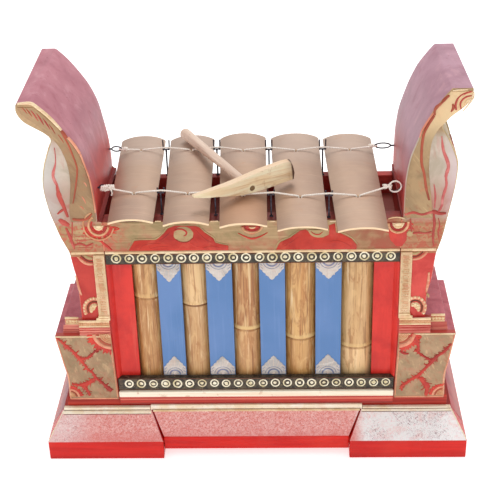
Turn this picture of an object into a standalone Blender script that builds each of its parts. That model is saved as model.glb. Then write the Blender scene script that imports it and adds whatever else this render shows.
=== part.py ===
"""Balinese metallophone with five bronze plates over bamboo resonators.

Metres, +Z up, X along the case (low plate at +X), front of the case at -Y.
The underside of the base rests on Z = 0. The dimensions below are measured from the
middle of the base; the plates stand out further in front than behind, so everything
is then moved back by MIDDLE_Y, which puts the origin under the middle of the whole.
"""
import math

import bmesh
import bpy
from mathutils import Matrix, Vector

# ---------------------------------------------------------------- driving dimensions
BASE_W = 0.660          # width of the base at the ground, sets the scale of everything
BASE_D = 0.275          # depth of the base at the ground
BASE_FACE_H = 0.0335    # upright lower part of the base
BASE_TOP_Z = 0.066      # top of its sloping sides
BASE_TOP_W = 0.618      # width and half depth at the top of the slope
BASE_TOP_Y = 0.0955
BAND_W = 0.604          # plain band between the slope and the case
BAND_Y = 0.0895
CASE_FLOOR_Z = 0.087    # top of the base board

CASE_FRONT_Y = -0.0925  # front faces of end boards, front rail and ring strips
CASE_REAR_Y = 0.0925
INFILL_Y = -0.0825      # front faces of the boards between the resonators
INFILL_T = 0.006
BLOCK_FRONT_Y = -0.0965
BLOCK_REAR_Y = 0.0615
BLOCK_TOP_Z = 0.208
COLLAR_TOP_Z = 0.2355
INNER_X = 0.2190        # inner faces of the end boards below the rail top
RAIL_TOP_Z = 0.404
RAIL_BOTTOM_Z = 0.350
RAIL_T = 0.026
REAR_TOP_Z = 0.395
REAR_Y = 0.0705
REAR_T = 0.016
GAP = 0.0003            # clearance between neighbouring pieces
MIDDLE_Y = 0.0177       # from the middle of the whole object back to the middle of the base

STRIP_UP = (0.3318, 0.3496)    # upper ring strip, bottom and top
STRIP_LOW = (0.1012, 0.1240)   # lower ring strip
SILL_TOP_Z = 0.1008

KEY_TOP_Z = 0.4380      # crown of the plates
KEY_T = 0.0030
KEY_CROWN = 0.0072      # how far the long edges lie below the crown
KEY_END_BOW = 0.0030    # how far the middle of a short edge stands out
KEY_FLARE = 1.045       # rear width over mean width
KEY_YAW = math.radians(1.6)
HOLE_R = 0.0040
# name: centre x at mid length, front y, rear y, mean width, front hole y, rear hole y
KEYS = {
    "key_1": (-0.1733, -0.1480, 0.1385, 0.0675, -0.0675, 0.0820),
    "key_2": (-0.0940, -0.1560, 0.1390, 0.0680, -0.0707, 0.0805),
    "key_3": (-0.0128, -0.1630, 0.1440, 0.0700, -0.0775, 0.0765),
    "key_4": (0.0700, -0.1745, 0.1410, 0.0735, -0.0845, 0.0735),
    "key_5": (0.1535, -0.1795, 0.1360, 0.0735, -0.0850, 0.0740),
}

CORD_R = 0.00125
CORD_POST_Z = 0.4430    # cord axis where it lies on a post
CORD_KEY_Z = 0.43965    # cord axis where it crosses a plate
LOOP_X = 0.0022         # the two strands inside a hole stand this far from its middle
TOGGLE_R = 0.0017
TOGGLE_L = 0.018
TOGGLE_Z = 0.4314
POST_WIRE_R = 0.0011
POST_HALF_W = 0.0045
# y of each post; in x each stands in the middle of the space between two plates
POSTS_FRONT_Y = (-0.0685, -0.0742, -0.0795, -0.0848)
POSTS_REAR_Y = (0.0812, 0.0800, 0.0760, 0.0750)
PRONG_FRONT_Z = 0.4462
PRONG_REAR_Z = 0.4545
# cord end: x of the ring wire it turns round, y, ring length, ring height
HOOK_WIRE_R = 0.0011
HOOKS = {
    "hook_front_left": (-0.2150, -0.0590, 0.0085, 0.0080, -1),
    "hook_front_right": (0.2020, -0.0665, 0.0165, 0.0165, 1),
    "hook_rear_left": (-0.2065, 0.0760, 0.0150, 0.0080, -1),
    "hook_rear_right": (0.1905, 0.0745, 0.0240, 0.0085, 1),
}
HOOK_FACE_X = (-0.2259, 0.2208)  # inner faces of the end boards at cord height

# resonators: centre x, half width of the slot that shows it, height of its node
RESONATORS = (
    (-0.1634, 0.0186, 0.265),
    (-0.0896, 0.0189, 0.252),
    (-0.0110, 0.0204, 0.206),
    (0.0714, 0.0230, 0.189),
    (0.1576, 0.0240, 0.172),
)
TUBE_OVER_SLOT = 1.28
TUBE_FRONT_Y = -0.0802
TUBE_TOP_Z = 0.3870
TUBE_WALL = 0.0040
RACK_Z = (0.3560, 0.3640)

# hammer: point on the front face where the handle comes out, and the plan angle of the handle
MALLET_P = (0.0029, -0.0800, 0.4505)
MALLET_ANGLE = math.radians(-60.6)
HEAD_T = 0.0130
HANDLE_L = 0.2300
HANDLE_R_FAR = 0.0088
HANDLE_R_NEAR = 0.0056
TENON_R = 0.0040

# ---------------------------------------------------------------- clear the scene
for old in list(bpy.data.objects):
    bpy.data.objects.remove(old, do_unlink=True)


# ---------------------------------------------------------------- small geometry tools
def link(name, bm):
    """Turns a bmesh into an object with outward normals."""
    bmesh.ops.remove_doubles(bm, verts=bm.verts, dist=1e-6)
    bmesh.ops.recalc_face_normals(bm, faces=bm.faces)
    mesh = bpy.data.meshes.new(name)
    bm.to_mesh(mesh)
    bm.free()
    obj = bpy.data.objects.new(name, mesh)
    bpy.context.scene.collection.objects.link(obj)
    return obj


def loft(name, rings, caps=True):
    """Joins closed rings of equal length into one body."""
    bm = bmesh.new()
    loops = [[bm.verts.new(p) for p in ring] for ring in rings]
    n = len(loops[0])
    for a, b in zip(loops, loops[1:]):
        for i in range(n):
            j = (i + 1) % n
            bm.faces.new((a[i], a[j], b[j], b[i]))
    if caps:
        bm.faces.new(loops[0])
        bm.faces.new(list(reversed(loops[-1])))
    return link(name, bm)


def box(name, x, y, z):
    ring = lambda zz: [(x[0], y[0], zz), (x[1], y[0], zz), (x[1], y[1], zz), (x[0], y[1], zz)]
    return loft(name, [ring(z[0]), ring(z[1])])


def along_y(name, outline, y0, y1, lean=lambda z: 0.0):
    """Prism with an outline in X and Z, drawn out along Y. y0 and y1 may be functions of z, and the far end may lean in X."""
    f0 = y0 if callable(y0) else (lambda z: y0)
    f1 = y1 if callable(y1) else (lambda z: y1)
    return loft(name, [[(x, f0(z), z) for x, z in outline], [(x + lean(z), f1(z), z) for x, z in outline]])


def along_x(name, outline, x0, x1):
    """Prism with an outline in Y and Z, drawn out along X."""
    return loft(name, [[(x0, y, z) for y, z in outline], [(x1, y, z) for y, z in outline]])


def frustum(name, low, high):
    """Body between stacked rectangles, each (x0, x1, y0, y1, z)."""
    ring = lambda r: [(r[0], r[2], r[4]), (r[1], r[2], r[4]), (r[1], r[3], r[4]), (r[0], r[3], r[4])]
    return loft(name, [ring(r) for r in (*low, high)])


def spline(points, steps=4):
    """Catmull-Rom curve through points, open ended."""
    out = []
    n = len(points)
    for i in range(n - 1):
        p0, p1, p2, p3 = (points[max(0, min(n - 1, k))] for k in (i - 1, i, i + 1, i + 2))
        for s in range(steps):
            t = s / steps
            out.append(
                tuple(
                    0.5
                    * (
                        2 * b
                        + (c - a) * t
                        + (2 * a - 5 * b + 4 * c - d) * t * t
                        + (3 * b - a - 3 * c + d) * t**3
                    )
                    for a, b, c, d in zip(p0, p1, p2, p3)
                )
            )
    out.append(tuple(points[-1]))
    return out


def frame_of(axis):
    """Two unit vectors square to an axis."""
    axis = Vector(axis).normalized()
    side = axis.cross(Vector((0, 0, 1)))
    if side.length < 1e-4:
        side = Vector((1, 0, 0))
    side.normalize()
    return side, axis.cross(side).normalized()


def lathe(name, origin, axis, profile, n=20):
    """Body of revolution. Profile: (distance along the axis, radius); radius 0 closes an end."""
    origin, axis = Vector(origin), Vector(axis).normalized()
    u, v = frame_of(axis)
    bm = bmesh.new()
    loops = []
    for d, r in profile:
        base = origin + axis * d
        if r == 0:
            loops.append([bm.verts.new(base)])
        else:
            loops.append(
                [
                    bm.verts.new(base + (u * math.cos(2 * math.pi * i / n) + v * math.sin(2 * math.pi * i / n)) * r)
                    for i in range(n)
                ]
            )
    for a, b in zip(loops, loops[1:]):
        for i in range(n):
            j = (i + 1) % n
            if len(a) == 1:
                bm.faces.new((a[0], b[i], b[j]))
            elif len(b) == 1:
                bm.faces.new((a[i], b[0], a[j]))
            else:
                bm.faces.new((a[i], b[i], b[j], a[j]))
    return link(name, bm)


def tube(name, path, radius, n=6, closed=False):
    """Round bar along a path of points, with the cross-section carried along without twist."""
    pts = [Vector(p) for p in path]
    count = len(pts)
    tangents = []
    for i in range(count):
        a = pts[i - 1] if (i > 0 or closed) else pts[i]
        b = pts[(i + 1) % count] if (i < count - 1 or closed) else pts[i]
        tangents.append((b - a).normalized())
    side, _ = frame_of(tangents[0])
    rings = []
    for p, t in zip(pts, tangents):
        side = (side - t * side.dot(t)).normalized()
        up = t.cross(side)
        rings.append(
            [p + (side * math.cos(2 * math.pi * k / n) + up * math.sin(2 * math.pi * k / n)) * radius for k in range(n)]
        )
    if not closed:
        return loft(name, rings)
    bm = bmesh.new()
    loops = [[bm.verts.new(q) for q in ring] for ring in rings]
    for i in range(count):
        a, b = loops[i], loops[(i + 1) % count]
        for k in range(n):
            m = (k + 1) % n
            bm.faces.new((a[k], a[m], b[m], b[k]))
    return link(name, bm)


def combine(target, others, operation):
    """Exact Boolean of target with each other object, which is then removed."""
    for other in others:
        mod = target.modifiers.new("cut", "BOOLEAN")
        mod.solver = "EXACT"
        mod.operation = operation
        mod.object = other
        graph = bpy.context.evaluated_depsgraph_get()
        mesh = bpy.data.meshes.new_from_object(target.evaluated_get(graph))
        target.modifiers.remove(mod)
        old = target.data
        target.data = mesh
        mesh.name = target.name
        bpy.data.meshes.remove(old)
        bpy.data.objects.remove(other, do_unlink=True)
    return target


# ---------------------------------------------------------------- base
HALF = BASE_W / 2
FRONT = -BASE_D / 2
# board with a plain band, sloping ends and an open underside
along_y(
    "base_board",
    [
        (-HALF, 0), (-HALF, BASE_FACE_H), (-BASE_TOP_W / 2, BASE_TOP_Z), (-BAND_W / 2, BASE_TOP_Z),
        (-BAND_W / 2, CASE_FLOOR_Z), (BAND_W / 2, CASE_FLOOR_Z), (BAND_W / 2, BASE_TOP_Z),
        (BASE_TOP_W / 2, BASE_TOP_Z), (HALF, BASE_FACE_H), (HALF, 0), (HALF - 0.026, 0),
        (HALF - 0.026, 0.045), (-HALF + 0.026, 0.045), (-HALF + 0.026, 0),
    ],
    -BAND_Y, BAND_Y,
)
# front feet: the mitred corners of the slope
FOOT_IN = 0.1470
FOOT_IN_TOP = 0.1670
foot_back = -(BAND_Y + GAP)
for side, name in ((-1, "base_foot_left"), (1, "base_foot_right")):
    xs = sorted((side * FOOT_IN, side * HALF))
    xt = sorted((side * FOOT_IN_TOP, side * BASE_TOP_W / 2))
    frustum(
        name,
        [(*xs, FRONT, foot_back, 0), (*xs, FRONT, foot_back, BASE_FACE_H)],
        (*xt, -BASE_TOP_Y, foot_back, BASE_TOP_Z),
    )
# front middle length of the slope, set back and clear of the ground
CENTRE_Y = -0.1300
frustum(
    "base_front_centre",
    [
        (-FOOT_IN + 0.0006, FOOT_IN - 0.0006, CENTRE_Y, foot_back, 0.0135),
        (-FOOT_IN + 0.0006, FOOT_IN - 0.0006, CENTRE_Y, foot_back, 0.0375),
    ],
    (-FOOT_IN_TOP + 0.0010, FOOT_IN_TOP - 0.0010, -BASE_TOP_Y, foot_back, BASE_TOP_Z),
)
frustum(
    "base_rear",
    [(-HALF, HALF, -foot_back, -FRONT, 0), (-HALF, HALF, -foot_back, -FRONT, BASE_FACE_H)],
    (-BASE_TOP_W / 2, BASE_TOP_W / 2, -foot_back, BASE_TOP_Y, BASE_TOP_Z),
)

# ---------------------------------------------------------------- end blocks with their collars
BLOCK_OUT = [(0.3080, BLOCK_TOP_Z), (0.3033, 0.1780), (0.2990, 0.1510), (0.2955, 0.1340), (0.2950, 0.1120), (0.2958, CASE_FLOOR_Z + GAP)]
BLOCK_IN = [(0.2172, CASE_FLOOR_Z + GAP), (0.2205, BLOCK_TOP_Z)]
BOARD_OUT_LOW = {-1: 0.2632, 1: 0.2601}  # outer faces of the end boards at the blocks
for side, name in ((-1, "end_block_left"), (1, "end_block_right")):
    block = along_y(name, [(side * x, z) for x, z in BLOCK_OUT + BLOCK_IN], BLOCK_FRONT_Y, BLOCK_REAR_Y)
    front = box(
        "collar", sorted((side * (INNER_X + 0.0015), side * 0.2690)),
        (BLOCK_FRONT_Y, CASE_FRONT_Y - 2 * GAP), (BLOCK_TOP_Z - 0.010, COLLAR_TOP_Z),
    )
    outer = along_y(
        "collar",
        [
            (side * (BOARD_OUT_LOW[side] + 0.0005), BLOCK_TOP_Z - 0.010), (side * 0.2980, BLOCK_TOP_Z - 0.010),
            (side * 0.2945, 0.2222), (side * 0.2915, 0.2230), (side * 0.2915, COLLAR_TOP_Z),
            (side * (BOARD_OUT_LOW[side] + 0.0005), COLLAR_TOP_Z),
        ],
        -0.0870, BLOCK_REAR_Y - 0.002,
    )
    combine(block, [front, outer], "UNION")

# ---------------------------------------------------------------- end boards: waist, lobe and horn in one plank
HORN_LEFT_OUT = [
    (-0.3213, 0.5960), (-0.3222, 0.5833), (-0.3140, 0.5690), (-0.2972, 0.5572), (-0.2855, 0.5490), (-0.2790, 0.5390),
    (-0.2860, 0.5190), (-0.2940, 0.4956), (-0.2988, 0.4700), (-0.2982, 0.4479), (-0.2939, 0.4206), (-0.2886, 0.4013),
    (-0.2831, 0.3821), (-0.2768, 0.3661), (-0.2716, 0.3534), (-0.2702, 0.3440), (-0.2676, 0.3255), (-0.2653, 0.3115),
    (-0.2638, 0.2900), (-0.2632, BLOCK_TOP_Z + GAP),
]
HORN_LEFT_IN = [
    (-INNER_X, BLOCK_TOP_Z + GAP), (-INNER_X, RAIL_TOP_Z), (-0.2252, 0.4046), (-0.2254, 0.4317), (-0.2276, 0.4604),
    (-0.2331, 0.4909), (-0.2397, 0.5161), (-0.2507, 0.5385), (-0.2612, 0.5535), (-0.2812, 0.5781), (-0.2991, 0.5960),
]
HORN_RIGHT_OUT = [
    (0.3104, 0.6035), (0.3090, 0.5892), (0.2990, 0.5760), (0.2845, 0.5644), (0.2740, 0.5530), (0.2712, 0.5450),
    (0.2787, 0.5320), (0.2887, 0.5103), (0.2945, 0.4908), (0.2941, 0.4657), (0.2908, 0.4402), (0.2855, 0.4095),
    (0.2820, 0.3881), (0.2784, 0.3699), (0.2745, 0.3560), (0.2717, 0.3470), (0.2696, 0.3328), (0.2682, 0.3164),
    (0.2655, 0.2960), (0.2612, 0.2775), (0.2601, 0.2620), (0.2601, BLOCK_TOP_Z + GAP),
]
HORN_RIGHT_IN = [
    (INNER_X, BLOCK_TOP_Z + GAP), (INNER_X, RAIL_TOP_Z), (0.2209, 0.4046), (0.2212, 0.4436), (0.2224, 0.4715),
    (0.2268, 0.4990), (0.2350, 0.5235), (0.2448, 0.5475), (0.2569, 0.5714), (0.2700, 0.5898), (0.2812, 0.6035),
]


def flare(z, amount):
    """Extra depth of a horn above mid height."""
    t = max(0.0, min(1.0, (z - 0.47) / 0.12))
    return amount * t * t * (3 - 2 * t)


def horn_outline(outer, inner, low):
    """Smooth above the rail, straight below it."""
    return spline(outer[:-1], 2) + [outer[-1]] + inner[:3] + spline(inner[3:], 2)


along_y(
    "end_board_left", horn_outline(HORN_LEFT_OUT, HORN_LEFT_IN, 0),
    lambda z: CASE_FRONT_Y - flare(z, 0.010), lambda z: CASE_REAR_Y + flare(z, 0.027), lambda z: -flare(z, 0.0015),
)
along_y(
    "end_board_right", horn_outline(HORN_RIGHT_OUT, HORN_RIGHT_IN, 0),
    lambda z: CASE_FRONT_Y + flare(z, 0.004), lambda z: CASE_REAR_Y - flare(z, 0.002), lambda z: -flare(z, 0.0055),
)

# ---------------------------------------------------------------- long boards of the case
LONG_X = INNER_X - GAP
# the front rail is a board with a ledge behind its top edge that carries the posts
along_x(
    "front_rail",
    [
        (CASE_FRONT_Y, RAIL_BOTTOM_Z), (CASE_FRONT_Y, RAIL_TOP_Z), (CASE_FRONT_Y + RAIL_T, RAIL_TOP_Z),
        (CASE_FRONT_Y + RAIL_T, 0.3890), (-0.0828, 0.3890), (-0.0828, RAIL_BOTTOM_Z),
    ],
    -LONG_X, LONG_X,
)
# the rear panel narrows a little where the blocks lean inwards
along_y(
    "rear_panel",
    [(-0.2166, CASE_FLOOR_Z + GAP), (0.2166, CASE_FLOOR_Z + GAP), (LONG_X, 0.240), (LONG_X, REAR_TOP_Z), (-LONG_X, REAR_TOP_Z), (-LONG_X, 0.240)],
    REAR_Y, REAR_Y + REAR_T,
)
strip_back = INFILL_Y - GAP
box("ring_strip_upper", (-LONG_X, LONG_X), (CASE_FRONT_Y, strip_back), STRIP_UP)
box("ring_strip_lower", (-0.2172 + GAP, 0.2172 - GAP), (CASE_FRONT_Y, strip_back), STRIP_LOW)
along_x(
    "sill_moulding",
    [
        (-0.0960, 0.0905), (-0.0968, 0.0912), (-0.0968, 0.1000), (-0.0960, SILL_TOP_Z), (strip_back, SILL_TOP_Z),
        (strip_back, CASE_FLOOR_Z + GAP), (foot_back, CASE_FLOOR_Z + GAP), (foot_back, 0.0742), (-0.0930, 0.0742),
        (-0.0940, 0.0760), (-0.0940, 0.0905),
    ],
    -0.2164, 0.2164,
)
# gold pilasters on the end boards, beside the front opening
for side, name in ((-1, "pilaster_left"), (1, "pilaster_right")):
    box(name, sorted((side * 0.2195, side * 0.2365)), (CASE_FRONT_Y - 0.0036, CASE_FRONT_Y - GAP), (COLLAR_TOP_Z + GAP, RAIL_BOTTOM_Z))

# ---------------------------------------------------------------- front infill: red and blue boards
edges = [-0.2163]
for cx, half, _ in RESONATORS:
    edges += [cx - half, cx + half]
edges.append(0.2163)
names = ["red_board_left", "blue_board_1", "blue_board_2", "blue_board_3", "blue_board_4", "red_board_right"]
for i, name in enumerate(names):
    box(name, (edges[2 * i], edges[2 * i + 1]), (INFILL_Y, INFILL_Y + INFILL_T), (CASE_FLOOR_Z + GAP, RAIL_BOTTOM_Z - 0.002))

# ---------------------------------------------------------------- bamboo resonators and the board that steadies them
rack = box("resonator_rack", (-LONG_X, LONG_X), (-0.0660, REAR_Y - GAP), RACK_Z)
cutters = []
for i, (cx, half, node) in enumerate(RESONATORS, 1):
    r = half * TUBE_OVER_SLOT
    cy = TUBE_FRONT_Y + r
    low = CASE_FLOOR_Z + GAP
    w = r - TUBE_WALL
    lathe(
        f"resonator_{i}", (cx, cy, 0), (0, 0, 1),
        [
            (node + 0.003, 0), (node + 0.003, w), (TUBE_TOP_Z, w), (TUBE_TOP_Z, r), (node + 0.008, r),
            (node + 0.0025, r + 0.0013), (node + 0.0005, r + 0.0013), (node - 0.0015, r - 0.0002),
            (node - 0.004, r + 0.0004), (node - 0.009, r), (low, r), (low, w), (node - 0.003, w), (node - 0.003, 0),
        ],
        24,
    )
    cutters.append(lathe("cutter", (cx, cy, 0), (0, 0, 1), [(RACK_Z[0] - 0.01, 0), (RACK_Z[0] - 0.01, r + 0.0006), (RACK_Z[1] + 0.01, r + 0.0006), (RACK_Z[1] + 0.01, 0)], 24))
combine(rack, cutters, "DIFFERENCE")


# ---------------------------------------------------------------- plates
def key_point(key, u, y):
    """World x and crown drop at the share u (-1 to 1) of the width and the local y of a plate."""
    cx, y0, y1, width, _, _ = KEYS[key]
    mid = (y0 + y1) / 2
    share = (y - mid) / ((y1 - y0) / 2)
    half = width / 2 * (1 + (KEY_FLARE - 1) * share)
    return u * half, y - mid


def key_x(key, y):
    """World x of a plate's middle line at world y."""
    cx, y0, y1, _, _, _ = KEYS[key]
    return cx - math.tan(KEY_YAW) * (y - (y0 + y1) / 2)


def key_half(key, y):
    """Half width of a plate at world y."""
    _, y0, y1, width, _, _ = KEYS[key]
    return width / 2 * (1 + (KEY_FLARE - 1) * (y - (y0 + y1) / 2) / ((y1 - y0) / 2))


def post_spots(ys):
    spots = []
    for i, y in enumerate(ys, 1):
        a, b = f"key_{i}", f"key_{i + 1}"
        spots.append(((key_x(a, y) + key_half(a, y) + key_x(b, y) - key_half(b, y)) / 2, y))
    return spots


POSTS_FRONT = post_spots(POSTS_FRONT_Y)
POSTS_REAR = post_spots(POSTS_REAR_Y)
ACROSS = [-1, -0.94, -0.82, -0.62, -0.36, -0.12, 0.12, 0.36, 0.62, 0.82, 0.94, 1]
ALONG = [0, 0.5, 1]
for key, (cx, y0, y1, width, hole_f, hole_r) in KEYS.items():
    mid = (y0 + y1) / 2
    spin = Matrix.Rotation(KEY_YAW, 3, "Z")
    rings = []
    for share in ALONG:
        end = 2 * share - 1
        ring = []
        for top in (True, False):
            for u in ACROSS if top else reversed(ACROSS):
                length = (y1 - y0) / 2 - KEY_END_BOW * abs(u) ** 2.2 - (0.0045 * max(0, abs(u) - 0.9) / 0.1)
                y = mid + end * length
                x, ly = key_point(key, u, y)
                z = KEY_TOP_Z - KEY_CROWN * abs(u) ** 2.3 - (0 if top else KEY_T)
                p = spin @ Vector((x, ly, 0))
                ring.append((cx + p.x, mid + p.y, z))
        rings.append(ring)
    plate = loft(key, rings)
    holes = [
        lathe("cutter", (key_x(key, y), y, 0), (0, 0, 1), [(KEY_TOP_Z - 0.02, 0), (KEY_TOP_Z - 0.02, HOLE_R), (KEY_TOP_Z + 0.01, HOLE_R), (KEY_TOP_Z + 0.01, 0)], 16)
        for y in (hole_f, hole_r)
    ]
    combine(plate, holes, "DIFFERENCE")
    for y, end in ((hole_f, "front"), (hole_r, "rear")):
        lathe(
            f"toggle_{key[-1]}_{end}", (key_x(key, y), y - TOGGLE_L / 2, TOGGLE_Z), (0, 1, 0),
            [(0, 0), (0, TOGGLE_R * 0.8), (0.0008, TOGGLE_R), (TOGGLE_L - 0.0008, TOGGLE_R), (TOGGLE_L, TOGGLE_R * 0.8), (TOGGLE_L, 0)],
            8,
        )


# ---------------------------------------------------------------- cords with a loop down through every hole
def cord_loop(x, y):
    """Points of the loop: over the rim, down the hole, round the toggle and back up."""
    pts = []
    bend = 0.0020
    for s in (0, 0.5, 1):  # turn from level to down
        a = math.pi / 2 * s
        pts.append((-(LOOP_X + bend) + bend * math.sin(a), CORD_KEY_Z - bend + bend * math.cos(a)))
    pts.append((-LOOP_X - 0.0001, 0.4356))
    ring = CORD_R + TOGGLE_R + GAP / 2
    start = math.degrees(math.acos(min(1, (LOOP_X + 0.00035) / ring)))
    n = 6
    for k in range(n + 1):  # round the underside of the toggle
        a = math.radians(180 - start + (180 + 2 * start) * k / n)
        pts.append((ring * math.cos(a), TOGGLE_Z + ring * math.sin(a)))
    low = [(px, pz) for px, pz in pts[:4]]
    pts += [(-px, pz) for px, pz in reversed(low)]
    return [(x + px, y, pz) for px, pz in pts]


def cord_turn(hook, back):
    """Half turn round the ring wire and a short tail beside the cord."""
    x, y, _, _, side = HOOKS[hook]
    r = CORD_R + HOOK_WIRE_R + 0.00025
    pts = [(x - side * 0.0040, y, CORD_END_Z)]
    for k in range(7):
        a = -math.pi / 2 + math.pi * k / 6
        pts.append((x + side * r * math.cos(a), y + r + r * math.sin(a), CORD_END_Z))
    pts.append((x - side * 0.0050, y + 2 * r, CORD_END_Z))
    pts.append((x - side * 0.0100, y + 2 * r + 0.0006, CORD_END_Z))
    return list(reversed(pts)) if back else pts


CORD_END_Z = 0.4432
for row, posts, column in (("front", POSTS_FRONT, 4), ("rear", POSTS_REAR, 5)):
    path = cord_turn(f"hook_{row}_left", True)
    for i, key in enumerate(KEYS):
        y = KEYS[key][column]
        path += cord_loop(key_x(key, y), y)
        if i < 4:
            px, py = posts[i]
            path += [(px - 0.0065, py, CORD_POST_Z - 0.0004), (px, py, CORD_POST_Z), (px + 0.0065, py, CORD_POST_Z - 0.0004)]
    path += cord_turn(f"hook_{row}_right", False)
    tube(f"cord_{row}", path, CORD_R, 6)

# ---------------------------------------------------------------- posts: a stem under a crossbar with two upright prongs
bar_z = CORD_POST_Z - CORD_R - POST_WIRE_R - 0.0006
for row, posts, foot_z, prong_z in (
    ("front", POSTS_FRONT, RAIL_TOP_Z, PRONG_FRONT_Z),
    ("rear", POSTS_REAR, REAR_TOP_Z, PRONG_REAR_Z),
):
    for i, (px, py) in enumerate(posts, 1):
        back = CORD_R + POST_WIRE_R + 0.0005
        fork = tube(
            f"post_{row}_{i}",
            [
                (px - POST_HALF_W - 0.0004, py + back, prong_z), (px - POST_HALF_W - 0.0002, py + back, bar_z + 0.0024),
                (px - POST_HALF_W, py + back * 0.8, bar_z + 0.0008), (px - POST_HALF_W + 0.0003, py, bar_z),
                (px, py, bar_z),
                (px + POST_HALF_W - 0.0003, py, bar_z), (px + POST_HALF_W, py + back * 0.8, bar_z + 0.0008),
                (px + POST_HALF_W + 0.0002, py + back, bar_z + 0.0024), (px + POST_HALF_W + 0.0004, py + back, prong_z),
            ],
            POST_WIRE_R, 6,
        )
        stem = lathe("stem", (px, py, 0), (0, 0, 1), [(foot_z + GAP, 0), (foot_z + GAP, 0.0013), (bar_z, 0.0013), (bar_z, 0)], 8)
        combine(fork, [stem], "UNION")

# ---------------------------------------------------------------- rings that the cord ends turn round
for name, (x, y, length, height, side) in HOOKS.items():
    r = CORD_R + HOOK_WIRE_R + 0.00025
    ring = tube(
        name,
        [
            (x + side * (length / 2 - length / 2 * math.cos(2 * math.pi * k / 20)), y + r, CORD_END_Z + height / 2 * math.sin(2 * math.pi * k / 20))
            for k in range(20)
        ],
        HOOK_WIRE_R, 6, closed=True,
    )
    face = HOOK_FACE_X[0] if side < 0 else HOOK_FACE_X[1]
    start = x + side * (length - 0.0006)
    shank = lathe("shank", (start, y + r, CORD_END_Z), (side, 0, 0), [(0, 0), (0, 0.0014), (abs(face - start), 0.0014), (abs(face - start), 0)], 8)
    combine(ring, [shank], "UNION")

# ---------------------------------------------------------------- hammer
P = Vector(MALLET_P)
D = Vector((math.cos(MALLET_ANGLE), math.sin(MALLET_ANGLE), 0))   # out of the front face of the head
H = Vector((-D.y, D.x, 0))                                        # along the head, to its thick end
HEAD_LOW = [
    (-0.0936, 0.0093), (-0.0766, 0.0039), (-0.0557, 0.0000), (-0.0233, -0.0066), (0.0014, -0.0078), (0.0250, -0.0071),
    (0.0460, -0.0051), (0.0690, -0.0030),
]
HEAD_TOP = [
    (0.0705, 0.0073), (0.0668, 0.0215), (0.0591, 0.0276), (0.0326, 0.0258), (0.0050, 0.0222), (-0.0158, 0.0180),
    (-0.0362, 0.0146), (-0.0575, 0.0132), (-0.0760, 0.0122), (-0.0925, 0.0113),
]


def head_ring(depth, shift, squeeze):
    """Outline of the head at a depth behind its front face."""
    ring = []
    for s, v in HEAD_LOW + HEAD_TOP:
        thin = 0.55 + 0.45 * min(1.0, (s + 0.0940) / 0.060)  # the head thins towards its tip
        q = P + H * (s + shift * max(0, s - 0.04) / 0.03) + Vector((0, 0, 0.009 + (v - 0.009) * squeeze)) - D * depth * thin
        ring.append(tuple(q))
    return ring


head = loft("mallet_head", [head_ring(0, 0, 0.97), head_ring(0.0008, 0.0003, 1.0), head_ring(HEAD_T - 0.0025, 0.0042, 0.97), head_ring(HEAD_T, 0.0048, 0.86)])
bore = lathe("cutter", P + D * 0.01, -D, [(0, 0), (0, TENON_R + GAP), (HEAD_T + 0.02, TENON_R + GAP), (HEAD_T + 0.02, 0)], 16)
combine(head, [bore], "DIFFERENCE")
lathe(
    "mallet_handle", P + D * 0.0008, -D,
    [
        (0, 0), (0, TENON_R - 0.0004), (0.0005, TENON_R), (HEAD_T + 0.0014, TENON_R), (HEAD_T + 0.0018, HANDLE_R_NEAR),
        (0.080, HANDLE_R_NEAR + 0.0010), (0.160, HANDLE_R_FAR - 0.0012), (HANDLE_L - 0.004, HANDLE_R_FAR),
        (HANDLE_L - 0.001, HANDLE_R_FAR - 0.0016), (HANDLE_L, HANDLE_R_FAR - 0.004), (HANDLE_L, 0),
    ],
    16,
)

# ---------------------------------------------------------------- finishes: colour, roughness, metallic
FINISHES = {
    "red_enamel": ((0.62, 0.035, 0.03), 0.22, 0.0),
    "dark_red_enamel": ((0.22, 0.02, 0.025), 0.3, 0.0),
    "gold_paint": ((0.50, 0.33, 0.15), 0.45, 0.35),
    "blue_paint": ((0.13, 0.31, 0.60), 0.5, 0.0),
    "ring_paint": ((0.05, 0.04, 0.03), 0.5, 0.0),
    "cream_paint": ((0.85, 0.62, 0.36), 0.45, 0.0),
    "bamboo": ((0.52, 0.31, 0.12), 0.4, 0.0),
    "bronze": ((0.60, 0.43, 0.29), 0.35, 1.0),
    "cord": ((0.82, 0.72, 0.60), 0.9, 0.0),
    "bamboo_pin": ((0.35, 0.20, 0.09), 0.7, 0.0),
    "dark_wire": ((0.07, 0.06, 0.06), 0.45, 1.0),
    "pale_wood": ((0.80, 0.60, 0.28), 0.5, 0.0),
    "handle_wood": ((0.42, 0.22, 0.11), 0.4, 0.0),
}
FINISH_OF = (
    ("base_board", "dark_red_enamel"), ("base_", "red_enamel"), ("red_board", "red_enamel"), ("blue_board", "blue_paint"),
    ("end_block", "gold_paint"), ("end_board", "gold_paint"), ("pilaster", "gold_paint"), ("front_rail", "gold_paint"),
    ("rear_panel", "red_enamel"), ("ring_strip", "ring_paint"), ("sill", "cream_paint"), ("resonator_rack", "dark_red_enamel"),
    ("resonator", "bamboo"), ("key", "bronze"), ("cord", "cord"), ("toggle", "bamboo_pin"), ("post", "dark_wire"),
    ("hook", "dark_wire"), ("mallet_head", "pale_wood"), ("mallet_handle", "handle_wood"),
)
for name, (colour, roughness, metallic) in FINISHES.items():
    material = bpy.data.materials.new(name)
    material.use_nodes = True
    shader = material.node_tree.nodes["Principled BSDF"]
    shader.inputs["Base Color"].default_value = (*colour, 1)
    shader.inputs["Roughness"].default_value = roughness
    shader.inputs["Metallic"].default_value = metallic
    material.diffuse_color = (*colour, 1)

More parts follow.
